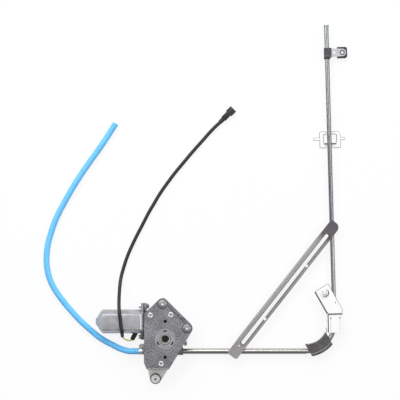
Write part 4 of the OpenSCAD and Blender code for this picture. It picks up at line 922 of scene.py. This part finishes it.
# %% [markdown]
# The pieces on the upright share its lean of 1.6 degrees, so they are built upright and moved onto it. The
# mid bracket is a plate with two ears and a window that has rounded corners and a folded lip. Its edges,
# the walls of the window and the lip are painted dark as shade, and they are the darkest lines of this
# almost white piece.

# %% Mid bracket
rail_foot, rail_lean = (305.98, 27.924, -31), math.radians(1.6)
bracket_low, bracket_high, ear_low, ear_high = -9, -6.5, 330.2, 335.2


def on_rail(piece):
    """Moves a piece from the rail's own frame, foot at the origin, to its place on the bench."""
    return placed(piece, rail_foot, rail_lean)


def window_form(radius, low, name):
    """The window of the bracket as a solid, down to a height."""
    corners = ((-7.9, 326.7), (11.5, 326.7), (11.5, 338.6), (-7.9, 338.6))
    return plate([(x, y, radius) for x, y in corners], low, -5, name)


bracket = plate([(-15.4, 317.8, 1.8), (19, 317.8, 1.8), (13.8, 339, 7), (-13.7, 342.5, 3.5)],
                bracket_low, bracket_high, "bracket")
soften(coated(bracket, pale_zinc, painted_edge_shade), 0.85, segments=1, edged=True)
for left, right in ((-28.2, -16), (19, 28.8)):
    ear = block((left, ear_low, bracket_low), (right, ear_high, bracket_high), "ear")
    soften(coated(ear, pale_zinc, painted_edge_shade), 0.7, segments=1, edged=True)
    carve(bracket, ear, how="UNION")
# The window, its rebate and the small hole are lined with painted shade.
carve(bracket, window_form(2.9, -6.9, "rebate"), window_form(2, -10, "window"),
      post((-4.9, 319), -10, -5, 1.1), lined=True)
# The folded lip is painted dark all over, as shade.
lip = coated(soften(block((-9, 322.9, -9), (12.6, 324.7, -4), "lip"), 0.5), pale_zinc, painted_edge_shade)
saddles = [block((-6, y, -8), (6, y + 5, -3.3)) for y in (316, 341)]
carve(bracket, all_second(lip), *saddles, how="UNION")
carve(bracket, rod((0, 310, 0), (0, 350, 0), 4.13))
finished(on_rail(bracket), "frame", pale_zinc, "carrier_zinc", "mid_bracket", angle=20)

# %% [markdown]
# The carrier lifts the glass. Its lower plate slides over the rail and has two pressed grooves, with a line
# of painted shade along each of their sides and a painted shadow dot at their upper ends. It is bright
# zinc, nearly as white as the bench. As on the bracket, painted shade on the edges draws its outline, so
# those are modelled with most care. A flank and a fold reach back to the rail.

# %% Carrier, the lower plate
plate_bottom, plate_top, over = 9.5, 11.5, 12
groove_lines, dots = (-7.5, 9.2), 8.7
carrier_plate = coated(block((-14.9, -17.8, plate_bottom), (13.8, 18, plate_top), "carrier_plate"),
                       pale_zinc, painted_edge_shade)
carve(carrier_plate, block((-16.4, -18, plate_bottom), (-12, -8, plate_top)), how="UNION")
# The plate's softened edges take painted shade.
soften(carrier_plate, 0.4, segments=1, edged=True)
# These lined cuts paint shade: a dark strip along the bend near the left edge, a shadow dot at the top of
# each groove and a strip down the plate's left side.
carve(carrier_plate, block((-13.2, -17.5, 11.1), (-11.3, 15, over)),
      *[post((x, dots), 10.9, over, 1.3) for x in groove_lines],
      block((-16, -17.4, 11.2), (-14.9, -8.6, over)), lined=True)
# A thin line of painted shade runs along each side of both grooves.
for x in (-8.4, -6.8, 8.3, 9.9):
    carve(carrier_plate, block((x - 0.15, -17, 11.3), (x + 0.15, 7.4, over)), lined=True)
grooves = [soften(block((x - 0.8, -19, 11), (x + 0.8, 7.4, over)), 0.3) for x in groove_lines]
carve(carrier_plate, *grooves)
flank = soften(block((11.8, -18, -3.6), (13.8, 16.4, 11)), 0.3)
back_fold = soften(block((-13, -17.9, 8), (-11, 16.4, 10)), 0.3)
print("lower plate, faces:", len(carrier_plate.data.polygons))

# %% [markdown]
# The slanted arm stands one sheet higher. Its left edge is rolled down and the crease where it leaves the
# lower plate lies in its own shade, so both are painted dark as shade: dark strips beside the pale arm.

# %% Carrier, the arm
arm_bottom, arm_top = 11, 13
edge_run, edge_rise = -21.65, 40.7
arm = plate([(-11.4, 18, 1.6), (12.2, 18, 1.6), (12, 24, 1.8), (-11.3, 69, 1.6), (-32.4, 56.9, 1.6)],
            arm_bottom, arm_top, "arm")
# The arm's softened edges take painted shade, and so do the walls of its two holes below.
soften(coated(arm, pale_zinc, painted_edge_shade), 0.75, segments=1, edged=True)
rolled = block((1, -0.3, 9.9), (math.hypot(edge_run, edge_rise) - 0.5, 1.5, 12.6), "rolled")
soften(placed(rolled, (-13, 16.4, 0), math.atan2(edge_rise, edge_run)), 0.6)
crease = soften(block((-12.8, 15, 11.2), (13.3, 17, 13.1), "crease"), 0.3)
for strip in (rolled, crease):
    all_second(coated(strip, pale_zinc, painted_edge_shade))
carve(arm, post((1.9, 36.8), 9, 15, 1.3), post((-17.4, 54.8), 9, 15, 2.5), lined=True)
carrier = merge("carrier_pressing", carrier_plate, flank, back_fold, arm, rolled, crease)
finished(on_rail(carrier), "carrier", pale_zinc, "carrier_zinc", "carrier_bracket", angle=20)

# %% [markdown]
# The glass nut is pressed into the arm. A broad collar with a raised rim carries a square boss with the
# thread. The collar is turned, the boss is a softened block, and the thread is bored through both.

# %% Glass nut
nut_place, nut_seat, nut_rim, thread = (-17.4, 54.8), 13.02, 14.5, 2.5
collar_profile = [(8.6, nut_seat), (8.6, 13.8), (8.2, 14.4), (7.6, nut_rim), (6, nut_rim), (2, nut_rim)]
collar = coated(turned(collar_profile, (*nut_place, 0), name="collar"), pale_zinc, painted_edge_shade)
# A dark lined recess with a pale disc set off-centre on it leaves a crescent of painted shade on one side
# of the rim.
carve(collar, post((-16.7, 54.6), 14.05, 16, 7.2), lined=True)
carve(collar, post((-17.8, 54.9), 13.6, 14.45, 6.5), how="UNION")
# The boss's softened edges and the bored thread take painted shade.
boss = coated(block((-20.9, 51.3, 13.5), (-13.9, 58.3, 18), "boss"), pale_zinc, painted_edge_shade)
carve(collar, soften(boss, 0.5, edged=True), how="UNION")
carve(collar, post(nut_place, 12, 20, thread), lined=True)
finished(on_rail(collar), "carrier", pale_zinc, "fixing_steel", "glass_nut", angle=30)

# %% [markdown]
# The hose clamp is a band rolled from strip, closed by a screw through two ears that stand out from it.
# The band is a turned ring with broken edges and the ears are welded on.

# %% Hose clamp
band_start, band_width, ear_sheet, screw_hole = -48.4, 9, 1, 2.03
band = turned([(5.52, 0), (6.25, 0), (6.5, 0.4), (6.5, 8.6), (6.25, band_width), (5.52, band_width)],
              (band_start, *tube_axis), way=(1, 0, 0), name="band", ring=True)
for low in (-33.2, -29.8):
    ear = soften(block((band_start, -18.6, low), (band_start + band_width, -11, low + ear_sheet)), 0.4)
    carve(ear, post((-43.9, -14.5), through, halfway, screw_hole))
    carve(band, ear, how="UNION")
finished(band, "frame", strap_bright, "strap_zinc", "hose_clamp")

# %% [markdown]
# The lead leaves the can through a soft boot, and two yellow wires cross from the boot to the sleeve. The
# boot is turned along the line from its mouth to its root. The wires are tubes on the same route as the
# exact ones, wound half a turn round each other as loose pairs are.

# %% Boot and wires
mouth, root = Vector((-60, -2.2, -24.25)), Vector((-53, 10.4, -19))
boot_profile = [(2.3, 0.5), (2.8, 0.1), (3.6, 0), (4.1, 0.6), (4.3, 2), (4, 3), (4.3, 4), (4, 5),
                (4.3, 6), (4.3, (root - mouth).length)]
boot = turned(boot_profile, mouth, way=root - mouth, name="boot_moulding", sides=40)
finished(boot, "frame", seal_black, "seal_rubber", "lead_boot")
wire_line = smooth_route([(-60, -2.2, -24.25), (-61, -3.6, -25), (-64, -4.8, -25), (-68.5, -3.9, -22.5),
                          (-73, -1.2, -18.5), (-76.8, 2, -13), (-77, 5, -9)])
strand_radius, strand_offset = 0.00076, 0.00078


def strand(start_turn):
    """One wire of the pair, which winds half a turn round the common line."""
    line = []
    for i, place in enumerate(wire_line):
        ahead = wire_line[min(i + 1, len(wire_line) - 1)] - wire_line[max(i - 1, 0)]
        across = ahead.cross(Vector((0, 0, 1))).normalized()
        above = across.cross(ahead).normalized()
        turn = start_turn + math.pi / 2 + math.pi * i / (len(wire_line) - 1)
        line.append(place + strand_offset * (math.cos(turn) * across + math.sin(turn) * above))
    return tube_along("wire", line, strand_radius, rounds=3)


wires = merge("yellow_wires", strand(0), strand(math.pi))
finished(wires, "frame", wire_yellow, "wire_plastic", "lead_wires")

# %% [markdown]
# The connector is a moulded plug for two poles: a narrow neck, a wider front with an open mouth, a latch
# along its top and three grip ribs. It is built along X at the origin, and turned and moved onto the end of
# the lead when it is done.

# %% Connector
rib_starts, rib_width, plug_place = (9.2, 11.8, 14.4), 1.1, (99, 390.5, -36)
shell = block((8, -5, -4), (23, 5, 4), "plug_shell")
carve(shell, block((22, -7, -4), (34, 7, 4)), block((15, -2.5, 3), (33.5, 2.5, 4.9)), how="UNION")
for x in rib_starts:
    carve(shell, block((x, -5.4, -3.4), (x + rib_width, 5.4, 3.4)), how="UNION")
carve(shell, block((28, -5.8, -2.8), (36, 5.8, 2.8)))
placed(soften(shell, 0.45), plug_place, math.radians(45))
finished(shell, "frame", plug_black, "black_plastic", "connector_body")
